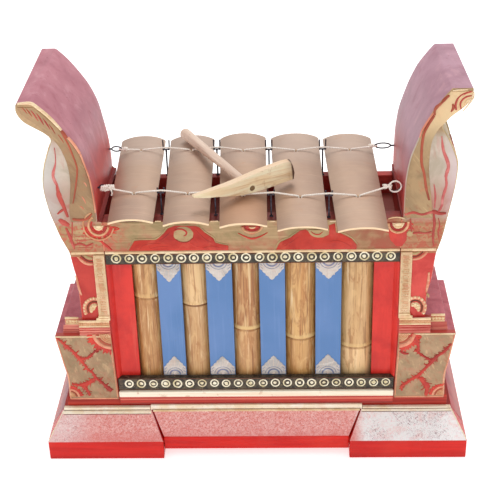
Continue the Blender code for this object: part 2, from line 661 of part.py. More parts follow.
ROUND = ("resonator_", "key", "cord", "toggle", "post", "hook", "mallet", "end_board")
pieces = [o for o in bpy.data.objects if o.type == "MESH"]
for piece in pieces:
    finish = next(f for start, f in FINISH_OF if piece.name.startswith(start))
    piece.data.materials.clear()
    piece.data.materials.append(bpy.data.materials[finish])
    if piece.name.startswith(ROUND) and piece.name != "resonator_rack":
        piece.data.shade_smooth()
        piece.data.set_sharp_from_angle(angle=math.radians(35))


# ---------------------------------------------------------------- what carries what
def stand(name, place, parent=None):
    """Empty that carries a group of pieces."""
    empty = bpy.data.objects.new(name, None)
    bpy.context.scene.collection.objects.link(empty)
    empty.parent = parent
    empty.location = place
    return empty


def carry(piece, empty, place):
    """Parents a piece to an empty at a place, with the piece's own origin there too."""
    piece.data.transform(Matrix.Translation(-Vector(place)))
    piece.parent = empty


case = stand("case", (0, MIDDLE_Y, 0))
carriers = {}
for key, (cx, y0, y1, *_) in KEYS.items():  # each plate and its two pins sink along Z through the plate's middle
    spot = (cx, (y0 + y1) / 2, KEY_TOP_Z)
    carriers[key] = (stand(f"{key}_hanging", spot, case), spot)
carriers["mallet"] = (stand("mallet_lifting", MALLET_P, case), MALLET_P)
for piece in pieces:
    if piece.name.startswith("key_"):
        home = carriers[piece.name]
    elif piece.name.startswith("toggle_"):
        home = carriers[f"key_{piece.name.split('_')[1]}"]
    elif piece.name.startswith("mallet_"):
        home = carriers["mallet"]
    else:
        home = (case, (0, 0, 0))
    carry(piece, *home)
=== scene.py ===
"""Looks of a five-plate metallophone: painted and carved case, bamboo tubes, bronze plates on cords, wooden hammer.

Metres, +Z up, X along the case, its front at -Y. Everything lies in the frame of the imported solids.
"""
import math
import random

import bmesh
import bpy
from mathutils import Matrix, Vector
from mathutils.geometry import tessellate_polygon


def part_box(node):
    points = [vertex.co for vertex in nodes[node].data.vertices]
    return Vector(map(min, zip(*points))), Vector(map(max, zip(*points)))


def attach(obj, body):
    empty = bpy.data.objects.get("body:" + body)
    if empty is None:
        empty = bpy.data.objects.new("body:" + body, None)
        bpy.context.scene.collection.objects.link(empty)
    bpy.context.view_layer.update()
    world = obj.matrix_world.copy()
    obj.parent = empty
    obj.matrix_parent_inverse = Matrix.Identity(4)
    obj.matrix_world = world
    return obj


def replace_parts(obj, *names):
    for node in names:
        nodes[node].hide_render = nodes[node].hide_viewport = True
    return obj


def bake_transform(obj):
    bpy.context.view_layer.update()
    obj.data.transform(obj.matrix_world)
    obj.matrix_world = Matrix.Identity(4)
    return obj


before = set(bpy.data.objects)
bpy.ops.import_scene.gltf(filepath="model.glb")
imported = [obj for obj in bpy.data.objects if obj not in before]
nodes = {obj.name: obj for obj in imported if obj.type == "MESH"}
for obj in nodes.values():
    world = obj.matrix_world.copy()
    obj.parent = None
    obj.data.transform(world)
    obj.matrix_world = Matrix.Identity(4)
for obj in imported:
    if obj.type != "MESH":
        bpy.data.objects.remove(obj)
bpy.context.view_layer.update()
rng = random.Random(11)

# ---------------------------------------------------------------- camera
FOCAL, PITCH, YAW, ROLL = 1209.0, 29.5, 2.6, -1.9      # pixels of a 500-pixel frame, degrees
CENTRE_PX = (240.0, 250.0)
EYE = Vector((0.0531, -1.6283, 1.2349))
_p, _y, _r = map(math.radians, (PITCH, YAW, ROLL))
AHEAD = Vector((-math.sin(_y) * math.cos(_p), math.cos(_y) * math.cos(_p), -math.sin(_p)))
_right = Vector((math.cos(_y), math.sin(_y), 0))
_up = _right.cross(AHEAD)
RIGHT = math.cos(_r) * _right + math.sin(_r) * _up
UP = -math.sin(_r) * _right + math.cos(_r) * _up
cam = bpy.data.objects.new("camera", bpy.data.cameras.new("camera"))
bpy.context.scene.collection.objects.link(cam)
cam.matrix_world = Matrix((
    (RIGHT.x, UP.x, -AHEAD.x, EYE.x), (RIGHT.y, UP.y, -AHEAD.y, EYE.y), (RIGHT.z, UP.z, -AHEAD.z, EYE.z), (0, 0, 0, 1),
))
cam.data.lens = FOCAL * 36 / 500
cam.data.shift_x = (250 - CENTRE_PX[0]) / 500
bpy.context.scene.camera = cam


def on_plane(px, py, y):
    """Point seen at a pixel of the 500-pixel frame on the upright surface y, a number or a function of z."""
    ray = AHEAD * FOCAL + RIGHT * (px - CENTRE_PX[0]) - UP * (py - CENTRE_PX[1])
    at = y(0.45) if callable(y) else y
    for _ in range(5 if callable(y) else 1):
        p = EYE + ray * ((at - EYE.y) / ray.y)
        at = y(p.z) if callable(y) else y
    return p


def seen(points, y):
    """Pixels to (x, z) on the upright surface y."""
    return [(p.x, p.z) for p in (on_plane(a, b, y) for a, b in points)]


PIXEL = 0.00155  # metres that one pixel covers at the front of the case


# ---------------------------------------------------------------- sizes shared with the solids
MIDDLE_Y = 0.0177
GAP = 0.0003
CASE_FRONT = -0.0925 + MIDDLE_Y
CASE_REAR = 0.0925 + MIDDLE_Y
BLOCK_FRONT = -0.0965 + MIDDLE_Y
BLOCK_REAR = 0.0615 + MIDDLE_Y
INFILL_FRONT = -0.0825 + MIDDLE_Y
RAIL_TOP, RAIL_BOTTOM = 0.404, 0.350
BLOCK_TOP, COLLAR_TOP = 0.208, 0.2355
FLOOR_Z = 0.087
FOOT_FRONT, CENTRE_FRONT = -0.1375 + MIDDLE_Y, -0.1300 + MIDDLE_Y
INNER_X = 0.2190
KEY_TOP_Z, KEY_T, KEY_CROWN, KEY_END_BOW, KEY_FLARE = 0.4380, 0.0030, 0.0072, 0.0030, 1.045
KEY_YAW = math.radians(1.6)
HOLE_R = 0.0040
KEYS = {
    "key_1": (-0.1733, -0.1480, 0.1385, 0.0675, -0.0675, 0.0820),
    "key_2": (-0.0940, -0.1560, 0.1390, 0.0680, -0.0707, 0.0805),
    "key_3": (-0.0128, -0.1630, 0.1440, 0.0700, -0.0775, 0.0765),
    "key_4": (0.0700, -0.1745, 0.1410, 0.0735, -0.0845, 0.0735),
    "key_5": (0.1535, -0.1795, 0.1360, 0.0735, -0.0850, 0.0740),
}
KEYS = {k: (cx, a + MIDDLE_Y, b + MIDDLE_Y, w, f + MIDDLE_Y, r + MIDDLE_Y) for k, (cx, a, b, w, f, r) in KEYS.items()}
CORD_R = 0.00125
CORD_POST_Z, CORD_KEY_Z, CORD_END_Z = 0.4430, 0.43965, 0.4432
LOOP_X, TOGGLE_R, TOGGLE_L, TOGGLE_Z = 0.0022, 0.0017, 0.018, 0.4314
POST_R, POST_HALF = 0.0011, 0.0045
POSTS_FRONT_Y = [v + MIDDLE_Y for v in (-0.0685, -0.0742, -0.0795, -0.0848)]
POSTS_REAR_Y = [v + MIDDLE_Y for v in (0.0812, 0.0800, 0.0760, 0.0750)]
HOOKS = {
    "hook_front_left": (-0.2150, -0.0590 + MIDDLE_Y, 0.0085, 0.0080, -1),
    "hook_front_right": (0.2020, -0.0665 + MIDDLE_Y, 0.0165, 0.0165, 1),
    "hook_rear_left": (-0.2065, 0.0760 + MIDDLE_Y, 0.0150, 0.0080, -1),
    "hook_rear_right": (0.1905, 0.0745 + MIDDLE_Y, 0.0240, 0.0085, 1),
}
HOOK_FACE_X = (-0.2259, 0.2208)
RESONATORS = (
    (-0.1634, 0.0186, 0.265), (-0.0896, 0.0189, 0.252), (-0.0110, 0.0204, 0.206), (0.0714, 0.0230, 0.189), (0.1576, 0.0240, 0.172),
)
TUBE_OVER_SLOT, TUBE_FRONT_Y, TUBE_TOP_Z, TUBE_WALL = 1.28, -0.0802 + MIDDLE_Y, 0.3870, 0.0040


# ---------------------------------------------------------------- materials
def lin(r, g, b):
    """Screen colour, 0 to 255, to the shader's linear colour."""
    f = lambda c: c / 12.92 if c <= 0.04045 else ((c + 0.055) / 1.055) ** 2.4
    return tuple(f(x / 255) for x in (r, g, b)) + (1.0,)


class Mat:
    """Principled material with short names for the nodes that feed it. Coordinates are the frame's, in metres."""

    def __init__(self, name, rough=0.5, metal=0.0, coat=0.0, coat_rough=0.1, spec=0.5, sheen=0.0):
        self.m = bpy.data.materials.new(name)
        self.m.use_nodes = True
        self.tree = self.m.node_tree
        self.shader = self.tree.nodes["Principled BSDF"]
        for socket, value in (
            ("Roughness", rough), ("Metallic", metal), ("Coat Weight", coat), ("Coat Roughness", coat_rough),
            ("Specular IOR Level", spec), ("Sheen Weight", sheen),
        ):
            self.shader.inputs[socket].default_value = value
        coords = self.tree.nodes.new("ShaderNodeTexCoord")
        self.where, self.facing = coords.outputs["Object"], coords.outputs["Normal"]
        split = self.tree.nodes.new("ShaderNodeSeparateXYZ")
        self.tree.links.new(self.where, split.inputs[0])
        self.x, self.y, self.z = split.outputs
        split = self.tree.nodes.new("ShaderNodeSeparateXYZ")
        self.tree.links.new(self.facing, split.inputs[0])
        self.nx, self.ny, self.nz = split.outputs

    def put(self, socket, value):
        if isinstance(value, bpy.types.NodeSocket):
            self.tree.links.new(value, socket)
        else:
            socket.default_value = value

    def stretch(self, scale, turn=(0, 0, 0), shift=(0, 0, 0)):
        """The frame's coordinates, moved, turned and then scaled."""
        first = self.tree.nodes.new("ShaderNodeMapping")
        first.vector_type = "POINT"
        self.put(first.inputs["Vector"], self.where)
        first.inputs["Location"].default_value = shift
        first.inputs["Rotation"].default_value = turn
        second = self.tree.nodes.new("ShaderNodeMapping")
        second.inputs["Scale"].default_value = scale
        self.put(second.inputs["Vector"], first.outputs[0])
        return second.outputs[0]

    def noise(self, scale=1.0, detail=3.0, rough=0.5, bend=0.0, at=None):
        n = self.tree.nodes.new("ShaderNodeTexNoise")
        self.put(n.inputs["Vector"], at or self.where)
        for k, v in (("Scale", scale), ("Detail", detail), ("Roughness", rough), ("Distortion", bend)):
            n.inputs[k].default_value = v
        return n.outputs["Fac"]

    def cells(self, scale=1.0, at=None, feature="F1", spread=1.0):
        n = self.tree.nodes.new("ShaderNodeTexVoronoi")
        n.feature = feature
        self.put(n.inputs["Vector"], at or self.where)
        n.inputs["Scale"].default_value = scale
        n.inputs["Randomness"].default_value = spread
        return n.outputs["Distance"]

    def step(self, value, low, high, a=0.0, b=1.0):
        """Smooth rise from a at low to b at high."""
        n = self.tree.nodes.new("ShaderNodeMapRange")
        n.interpolation_type = "SMOOTHSTEP"
        self.put(n.inputs["Value"], value)
        for k, v in (("From Min", low), ("From Max", high), ("To Min", a), ("To Max", b)):
            n.inputs[k].default_value = v
        return n.outputs[0]

    def calc(self, kind, a, b=0.0, c=0.0):
        n = self.tree.nodes.new("ShaderNodeMath")
        n.operation = kind
        for socket, v in zip(n.inputs, (a, b, c)):
            self.put(socket, v)
        return n.outputs[0]

    def mix(self, share, a, b, kind="MIX"):
        n = self.tree.nodes.new("ShaderNodeMix")
        n.data_type = "RGBA"
        n.blend_type = kind
        self.put(n.inputs[0], share)
        self.put(n.inputs[6], a)
        self.put(n.inputs[7], b)
        return n.outputs[2]

    def ramp(self, value, *stops):
        n = self.tree.nodes.new("ShaderNodeValToRGB")
        self.put(n.inputs[0], value)
        e = n.color_ramp.elements
        while len(e) < len(stops):
            e.new(0.5)
        for el, (pos, colour) in zip(e, stops):
            el.position = pos
            el.color = colour
        return n.outputs[0]

    def bump(self, height, depth, strength=1.0, over=None):
        n = self.tree.nodes.new("ShaderNodeBump")
        n.inputs["Strength"].default_value = strength
        n.inputs["Distance"].default_value = depth
        self.put(n.inputs["Height"], height)
        if over is not None:
            self.put(n.inputs["Normal"], over)
        return n.outputs[0]

    def done(self, colour=None, rough=None, normal=None, metal=None):
        for socket, v in (("Base Color", colour), ("Roughness", rough), ("Normal", normal), ("Metallic", metal)):
            if v is not None:
                self.put(self.shader.inputs[socket], v)
        return self.m


def enamel(name, deep, base, light, grain=(9, 60, 60), rough=0.38, coat=0.12, fine=420, streak=0.45, spec=0.32):
    """Brushed gloss paint: broad tone changes, brush streaks along one axis, a fine orange peel."""
    m = Mat(name, rough=rough, coat=coat, coat_rough=0.16, spec=spec)
    tone = m.noise(16, 4, 0.6, 0.5)
    strokes = m.noise(1, 3, 0.6, 0.3, at=m.stretch(grain))
    c = m.mix(m.step(tone, 0.28, 0.66), deep, base)
    c = m.mix(m.calc("MULTIPLY", m.step(strokes, 0.52, 0.78), streak), c, light)
    c = m.mix(m.calc("MULTIPLY", m.step(strokes, 0.44, 0.22), streak), c, deep)
    specks = m.noise(260, 2, 0.5)
    c = m.mix(m.calc("MULTIPLY", m.step(specks, 0.66, 0.74), 0.35), c, deep)
    peel = m.calc("ADD", m.noise(fine, 2, 0.5), m.calc("MULTIPLY", strokes, 1.4))
    return m.done(c, m.step(tone, 0.2, 0.8, rough * 0.8, rough * 1.35), m.bump(peel, 0.00035, 0.5))


RED_DEEP, RED, RED_LIGHT = lin(192, 32, 26), lin(224, 54, 43), lin(234, 90, 74)

mat_red = enamel("red_enamel", RED_DEEP, RED, RED_LIGHT, (60, 60, 7))
mat_dark_red = enamel("dark_red_enamel", lin(96, 22, 24), lin(142, 40, 38), lin(176, 66, 58), (8, 60, 60), rough=0.34)
mat_flame = enamel("flame_red", lin(176, 36, 26), lin(216, 62, 44), lin(232, 112, 84), (40, 40, 40), rough=0.36, coat=0.2)
mat_vein = enamel("vein_red", lin(146, 30, 24), lin(196, 52, 38), lin(222, 96, 70), (70, 70, 70), rough=0.4, coat=0.2)
mat_pink_line = enamel("pink_line", lin(206, 110, 84), lin(236, 160, 128), lin(248, 200, 170), (30, 90, 90), rough=0.42, coat=0.15)
mat_rust = enamel("rust_line", lin(146, 62, 40), lin(184, 88, 62), lin(212, 128, 96), (60, 60, 60), rough=0.45, coat=0.05)
mat_faded = enamel("faded_red", lin(160, 56, 48), lin(194, 78, 66), lin(226, 132, 114), (60, 60, 60), rough=0.45, coat=0.1)
# painted glare: a paler red for the stripes on the lobes, washed out like the lobes themselves
mat_glare_red = enamel("glare_washed_red", lin(184, 86, 84), lin(210, 112, 106), lin(236, 176, 168), (60, 60, 60), rough=0.5, coat=0.0)
mat_brown_line = enamel("brown_line", lin(84, 40, 24), lin(122, 66, 40), lin(150, 92, 60), (50, 50, 50), rough=0.5, coat=0.0)


def slope_paint():
    """The same enamel on the base: on the faces that look up a painted pink reflection of the overhead light, with
    scuffs and cracks in it; clean on the upright ones.
    """
    m = Mat("base_enamel", rough=0.34, coat=0.06, coat_rough=0.16, spec=0.26)
    tone = m.noise(12, 3, 0.55, 0.4)
    strokes = m.noise(1, 3, 0.6, 0.2, at=m.stretch((7, 70, 130)))
    clean = m.mix(m.step(strokes, 0.3, 0.72), lin(196, 14, 6), lin(218, 28, 16))
    clean = m.mix(m.calc("MULTIPLY", m.step(tone, 0.5, 0.75), 0.3), clean, lin(228, 66, 48))
    grains = m.noise(330, 4, 0.66, 1.0)
    worms = m.noise(130, 4, 0.62, 2.6)
    # painted reflection: grainy, cracked pink in place of the red on the faces that look up
    pink = m.mix(m.step(grains, 0.38, 0.62), lin(240, 142, 134), lin(255, 198, 192))
    pink = m.mix(m.calc("MULTIPLY", m.step(worms, 0.55, 0.66), 0.8), pink, lin(255, 212, 208))
    pink = m.mix(m.calc("MULTIPLY", m.step(m.calc("ABSOLUTE", m.calc("SUBTRACT", worms, 0.46)), 0.024, 0.0), 0.8), pink, lin(196, 84, 86))
    # the painted reflection gives way to a redder pink low on the slope
    pink = m.mix(m.step(m.z, 0.048, 0.036, 0.0, 0.5), pink, lin(232, 128, 122))
    # the end lengths and the far left corner get whole pale patches with dark cracks: painted white glare over the most
    # weathered, crazed enamel
    ends = m.step(m.x, 0.150, 0.175, 0.0, 1.0)
    corner = m.step(m.x, -0.250, -0.300, 0.0, 0.5)
    glare_and_wear_at = m.calc("MAXIMUM", ends, corner)
    patches = m.step(m.calc("ADD", m.noise(34, 4, 0.6, 1.0), m.calc("MULTIPLY", worms, 0.35)), 0.50, 0.72)
    gather = m.step(m.noise(26, 3, 0.6, 0.8), 0.42, 0.60)
    pale = m.mix(m.step(grains, 0.32, 0.46), lin(255, 222, 226), lin(255, 254, 253))
    pale = m.mix(m.calc("MULTIPLY", m.step(m.calc("ABSOLUTE", m.calc("SUBTRACT", worms, 0.52)), 0.016, 0.0), m.calc("ADD", m.calc("MULTIPLY", gather, 0.85), 0.10)), pale, lin(146, 78, 100))
    scrawl = m.noise(52, 3, 0.6, 2.2)
    pale = m.mix(m.calc("MULTIPLY", m.step(m.calc("ABSOLUTE", m.calc("SUBTRACT", scrawl, 0.50)), 0.015, 0.004), m.calc("ADD", m.calc("MULTIPLY", gather, 0.80), 0.12)), pale, lin(138, 84, 98))
    pink = m.mix(m.calc("MULTIPLY", glare_and_wear_at, m.calc("ADD", m.calc("MULTIPLY", patches, 0.30), 0.68)), pink, pale)
    # side-sloping faces: less specular, their colour painted instead; mauve on the left end as a painted reflection,
    # plain red on the right
    flank = m.step(m.calc("ABSOLUTE", m.nx), 0.30, 0.50)
    m.put(m.shader.inputs["Specular IOR Level"], m.calc("SUBTRACT", 0.26, m.calc("MULTIPLY", flank, 0.22)))
    pink = m.mix(m.calc("MULTIPLY", flank, 0.92), pink, m.mix(m.step(m.x, -0.1, 0.1), m.mix(m.step(tone, 0.3, 0.7), lin(162, 66, 76), lin(204, 116, 122)), m.mix(m.step(tone, 0.3, 0.7), lin(150, 34, 32), lin(188, 64, 60))))
    up = m.step(m.nz, 0.35, 0.70)
    # painted shade: darker over the lowest 2 cm, towards the floor
    low = m.step(m.z, 0.0, 0.02, 0.75, 1.0)
    c = m.mix(up, clean, pink)
    c = m.mix(m.calc("SUBTRACT", 1.0, low), c, lin(120, 20, 18))
    peel = m.calc("ADD", m.calc("MULTIPLY", grains, 1.6), worms)
    return m.done(c, m.calc("ADD", m.calc("MULTIPLY", up, 0.12), 0.22), m.bump(peel, 0.0006, 0.6))


def gilt(name, base, olive, brown, light, ticks=0.5, grain=(30, 60, 200), metal=0.18, rough=0.48, depth=0.0005):
    """Gold paint over carved wood: mottled towards olive and brown, with brush lines and red-brown ticks where it wore thin."""
    m = Mat(name, rough=rough, metal=metal)
    a = m.noise(26, 5, 0.62, 0.8)
    b = m.noise(70, 3, 0.55, 0.4)
    lines = m.noise(1, 3, 0.6, 0.25, at=m.stretch(grain))
    c = m.mix(m.step(a, 0.36, 0.62), olive, base)
    c = m.mix(m.calc("MULTIPLY", m.step(b, 0.52, 0.70), 0.55), c, brown)
    c = m.mix(m.calc("MULTIPLY", m.step(lines, 0.53, 0.72), 0.55), c, light)
    c = m.mix(m.calc("MULTIPLY", m.step(lines, 0.44, 0.30), 0.40), c, brown)
    nicks = m.noise(330, 2, 0.5, 0.5)
    c = m.mix(m.calc("MULTIPLY", m.step(nicks, 0.60, 0.70), ticks), c, lin(150, 74, 48))
    high = m.calc("ADD", m.calc("MULTIPLY", lines, 1.2), m.calc("ADD", b, m.calc("MULTIPLY", nicks, -0.5)))
    return m.done(c, m.step(b, 0.3, 0.7, rough * 0.8, rough * 1.25), m.bump(high, depth, 0.7))


GOLD, OLIVE, BROWN_GOLD, PALE_GOLD = lin(190, 158, 112), lin(160, 138, 92), lin(184, 132, 96), lin(222, 192, 146)
mat_gold = gilt("gold_paint", GOLD, OLIVE, BROWN_GOLD, PALE_GOLD)
mat_gold_rail = gilt("gold_rail_paint", lin(186, 158, 112), lin(160, 140, 96), lin(182, 128, 98), lin(206, 176, 130), ticks=0.3, grain=(8, 60, 230))
mat_cream = gilt("cream_gold", lin(244, 218, 176), lin(226, 190, 140), lin(226, 170, 134), lin(254, 240, 210), ticks=0.25, metal=0.0, rough=0.42, depth=0.0003)
mat_lip = gilt("lip_cream", lin(255, 243, 220), lin(246, 226, 190), lin(242, 208, 176), lin(255, 251, 238), ticks=0.2, metal=0.0, rough=0.42, depth=0.0003)
mat_pink_gold = gilt("pink_gold", lin(222, 168, 126), lin(200, 140, 96), lin(214, 128, 96), lin(240, 206, 164), ticks=0.35, metal=0.1, rough=0.44, depth=0.0003)
mat_silver_gold = gilt("grey_gold", lin(210, 200, 192), lin(182, 176, 172), lin(206, 182, 166), lin(236, 228, 220), ticks=0.1, metal=0.0, rough=0.55)
mat_rose_gold = gilt("rose_gold", lin(228, 158, 124), lin(210, 132, 98), lin(206, 98, 76), lin(246, 206, 172), ticks=0.45, metal=0.0, rough=0.46, depth=0.0003)
mat_pilaster = gilt("pilaster_paint", lin(222, 188, 148), lin(202, 174, 130), lin(214, 152, 122), lin(240, 212, 176), ticks=0.35, metal=0.0, rough=0.48, grain=(90, 60, 160))
mat_pearl = gilt("pearl_gold", lin(224, 212, 204), lin(206, 190, 176), lin(214, 184, 166), lin(246, 240, 236), ticks=0.1, metal=0.0, rough=0.5)
mat_lilac = gilt("grey_lilac", lin(132, 136, 166), lin(104, 112, 140), lin(150, 140, 160), lin(190, 200, 222), ticks=0.1, metal=0.05, rough=0.5)


def blue_paint():
    m = Mat("blue_paint", rough=0.5, spec=0.3)
    tone = m.noise(10, 3, 0.5)
    strokes = m.noise(1, 3, 0.6, at=m.stretch((150, 60, 8)))
    c = m.mix(m.step(tone, 0.35, 0.65), lin(92, 130, 182), lin(104, 138, 190))
    c = m.mix(m.calc("MULTIPLY", m.step(strokes, 0.5, 0.75), 0.3), c, lin(126, 156, 204))
    c = m.mix(m.calc("MULTIPLY", m.step(m.noise(200, 2), 0.62, 0.75), 0.25), c, lin(110, 130, 150))
    return m.done(c, m.step(strokes, 0.3, 0.7, 0.42, 0.56), m.bump(strokes, 0.0003, 0.5))


def strip_paint():
    """Near black ground of the ring strips, brushed, with the wood showing through in specks."""
    m = Mat("ring_ground", rough=0.55)
    a = m.noise(120, 4, 0.6, 0.6)
    c = m.mix(m.step(a, 0.35, 0.68), lin(40, 34, 28), lin(88, 76, 58))
    c = m.mix(m.calc("MULTIPLY", m.step(m.noise(380, 2), 0.60, 0.70), 0.5), c, lin(140, 124, 92))
    return m.done(c, None, m.bump(a, 0.0005, 0.6))


def ring_cream():
    m = Mat("ring_paint", rough=0.42)
    a = m.noise(60, 4, 0.6, 0.5)
    c = m.mix(m.step(a, 0.40, 0.66), lin(252, 244, 218), lin(214, 198, 150))
    c = m.mix(m.calc("MULTIPLY", m.step(m.noise(420, 2), 0.62, 0.72), 0.4), c, lin(150, 130, 90))
    return m.done(c, None, m.bump(a, 0.0003, 0.5))


def bamboo(number, cx, cy, node, pale, mid, dark, share, under, under_share, line, glow_share):
    """Split and dried bamboo: fibres along the stem, wide darker runs, blotches, a dark line under the node."""
    m = Mat(f"bamboo_{number}", rough=0.36, coat=0.15, coat_rough=0.25)
    seat = (-cx + 0.37 * number, -cy, 0)
    fibre = m.noise(1, 3, 0.62, 0.1, at=m.stretch((420, 420, 9), shift=seat))
    run = m.noise(1, 4, 0.6, 0.5, at=m.stretch((95, 95, 5), shift=seat))
    blot = m.noise(1, 4, 0.6, 0.9, at=m.stretch((46, 46, 22), shift=seat))
    c = m.mix(m.step(run, 0.36, 0.62), mid, pale)
    c = m.mix(m.calc("MULTIPLY", m.step(fibre, 0.50, 0.66), 0.75), c, dark)
    c = m.mix(m.calc("MULTIPLY", m.step(fibre, 0.47, 0.32), 0.6), c, pale)
    c = m.mix(m.calc("MULTIPLY", m.step(blot, 0.52, 0.70), share), c, dark)
    c = m.mix(m.calc("MULTIPLY", m.step(m.z, node, node - 0.006), under_share), c, under)
    streaks = m.noise(1, 3, 0.6, 0.3, at=m.stretch((170, 170, 7), shift=seat))
    c = m.mix(m.calc("MULTIPLY", m.step(streaks, 0.58, 0.67), 0.72), c, lin(250, 224, 178))
    drift = m.noise(1, 4, 0.62, 1.1, at=m.stretch((75, 75, 16), shift=(seat[0] + 0.5, seat[1] + 0.7, 0)))
    c = m.mix(m.calc("MULTIPLY", m.step(drift, 0.53, 0.63), 0.42), c, lin(240, 204, 146))
    c = m.mix(m.calc("MULTIPLY", m.step(drift, 0.46, 0.36), 0.50), c, lin(162, 100, 50))
    scars = m.noise(1, 3, 0.6, 0.4, at=m.stretch((210, 210, 11), shift=(seat[0] + 0.9, seat[1] + 0.4, 0)))
    c = m.mix(m.calc("MULTIPLY", m.step(scars, 0.57, 0.64), 0.65), c, m.mix(0.35, dark, lin(96, 58, 30)))
    off = m.calc("SUBTRACT", m.z, node)
    wavy = m.calc("ADD", off, m.calc("MULTIPLY", m.calc("SUBTRACT", m.noise(40, 2), 0.5), 0.004))
    dim = m.step(m.calc("ABSOLUTE", m.calc("ADD", wavy, 0.0016)), 0.0030, 0.0004)
    glow = m.step(m.calc("ABSOLUTE", m.calc("SUBTRACT", wavy, 0.0030)), 0.0050, 0.0010)
    c = m.mix(m.calc("MULTIPLY", glow, glow_share), c, lin(238, 204, 140))
    c = m.mix(m.calc("MULTIPLY", dim, line), c, lin(116, 70, 40))
    c = m.mix(0.13, c, lin(196, 122, 36))
    c = m.mix(m.calc("MULTIPLY", m.step(m.nz, 0.6, 0.9), 0.7), c, lin(214, 178, 124))
    high = m.calc("ADD", fibre, m.calc("MULTIPLY", run, 0.8))
    return m.done(c, m.step(fibre, 0.3, 0.7, 0.30, 0.48), m.bump(high, 0.0004, 0.6))


def bronze(number):
    """Filed and polished bronze: browner below and darker on the sides as painted shade, bright where the edges are
    rubbed, which is also a painted highlight.
    """
    m = Mat(f"bronze_{number}", rough=0.48, metal=0.72)
    seat = (0.31 * number, 0.17 * number, 0)
    tone = m.noise(1, 3, 0.5, 0.3, at=m.stretch((14, 9, 14), shift=seat))
    lines = m.noise(1, 4, 0.65, 0.15, at=m.stretch((10, 330, 60), shift=seat))
    wide = m.noise(1, 2, 0.5, 0.2, at=m.stretch((4, 85, 20), shift=seat))
    c = m.mix(m.step(tone, 0.32, 0.68), lin(180, 152, 134), lin(193, 165, 144))
    c = m.mix(m.step(m.y, 0.030, 0.095, 0.0, 0.45), c, lin(206, 188, 176))
    c = m.mix(m.calc("MULTIPLY", m.step(lines, 0.52, 0.74), 0.36), c, lin(216, 184, 158))
    c = m.mix(m.calc("MULTIPLY", m.step(wide, 0.52, 0.72), 0.14), c, lin(178, 150, 130))
    warm = m.noise(1, 4, 0.6, 0.8, at=m.stretch((30, 30, 30), shift=seat))
    c = m.mix(m.calc("MULTIPLY", m.step(warm, 0.60, 0.74), 0.35), c, lin(196, 146, 116))
    if number == 3:  # painted shadow and warm reflection of the hammer head on the middle plate, strongest towards the front
        c = m.mix(m.step(m.y, 0.05, -0.05, 0.06, 0.38), c, lin(178, 126, 88))
    # painted shade: faces that look down are dark brown
    below = m.step(m.nz, -0.2, -0.6)
    c = m.mix(below, c, lin(112, 76, 50))
    # painted shade on the upright sides; a painted highlight, cream, on the rubbed end faces
    side = m.step(m.calc("ABSOLUTE", m.nz), 0.60, 0.35)
    end = m.calc("MULTIPLY", side, m.step(m.calc("ABSOLUTE", m.ny), 0.6, 0.8))
    c = m.mix(m.calc("MULTIPLY", side, 0.6), c, lin(120, 84, 62))
    c = m.mix(end, c, lin(236, 208, 172))
    r = m.step(m.noise(1, 3, 0.6, 0.5, at=m.stretch((22, 40, 22), shift=seat)), 0.3, 0.7, 0.44, 0.56)
    return m.done(c, r, m.bump(lines, 0.00012, 0.5))


def cord_paint():
    """Twisted cotton: pale, with broad pinkish patches of painted shade."""
    m = Mat("cord", rough=0.85, sheen=0.25)
    a = m.noise(500, 3, 0.6)
    c = m.mix(m.step(a, 0.35, 0.68), lin(240, 226, 212), lin(255, 251, 244))
    # painted shade: broad pinkish patches
    c = m.mix(m.calc("MULTIPLY", m.step(m.noise(45, 2), 0.55, 0.75), 0.35), c, lin(226, 190, 176))
    return m.done(c, None, m.bump(a, 0.0004, 0.7))


def wire():
    m = Mat("dark_wire", rough=0.42, metal=0.7)
    a = m.noise(300, 3, 0.6)
    c = m.mix(m.step(a, 0.35, 0.7), lin(52, 46, 52), lin(98, 90, 104))
    c = m.mix(m.calc("MULTIPLY", m.step(m.noise(120, 3), 0.58, 0.7), 0.5), c, lin(110, 70, 52))
    return m.done(c, m.step(a, 0.3, 0.7, 0.32, 0.6), m.bump(a, 0.0003, 0.6))


def wood(name, turn, pale, mid, dark, top, coarse=1.0, rough=0.5):
    """Plain wood with its grain along the turned X axis, greyer and duller on the faces that look up as painted sky
    light.
    """
    m = Mat(name, rough=rough)
    fine = m.noise(1, 4, 0.65, 0.2, at=m.stretch((14 * coarse, 330, 330), turn=(0, 0, turn)))
    wide = m.noise(1, 3, 0.55, 0.5, at=m.stretch((7 * coarse, 70, 70), turn=(0, 0, turn)))
    c = m.mix(m.step(wide, 0.36, 0.64), mid, pale)
    c = m.mix(m.calc("MULTIPLY", m.step(fine, 0.54, 0.70), 0.5), c, dark)
    # painted light: the faces that look up take the greyer top tone
    c = m.mix(m.calc("MULTIPLY", m.step(m.nz, 0.55, 0.9), 0.75), c, top)
    c = m.mix(m.calc("MULTIPLY", m.step(m.noise(55, 4, 0.6), 0.60, 0.74), 0.3), c, dark)
    return m.done(c, m.step(fine, 0.3, 0.7, rough * 0.85, rough * 1.2), m.bump(fine, 0.0003, 0.6))


HEAD_TURN = math.radians(-29.4)   # brings the length of the hammer head onto X
mat_slope = slope_paint()
mat_blue = blue_paint()
mat_strip = strip_paint()
mat_ring = ring_cream()
mat_cord = cord_paint()
mat_wire = wire()
mat_handle = wood("handle_wood", math.radians(60.6), lin(250, 230, 210), lin(214, 184, 162), lin(122, 88, 66), lin(224, 198, 178), 0.6, 0.42)
mat_tenon = wood("tenon_end", math.radians(60.6), lin(150, 122, 84), lin(124, 98, 64), lin(92, 70, 46), lin(124, 98, 64), 3.0)
mat_pin = wood("bamboo_pin", math.radians(90), lin(190, 150, 96), lin(160, 118, 70), lin(110, 76, 44), lin(180, 140, 90), 2.0)
mat_rack = wood("rack_wood", 0.0, lin(150, 72, 60), lin(128, 56, 48), lin(92, 38, 34), lin(150, 72, 60))


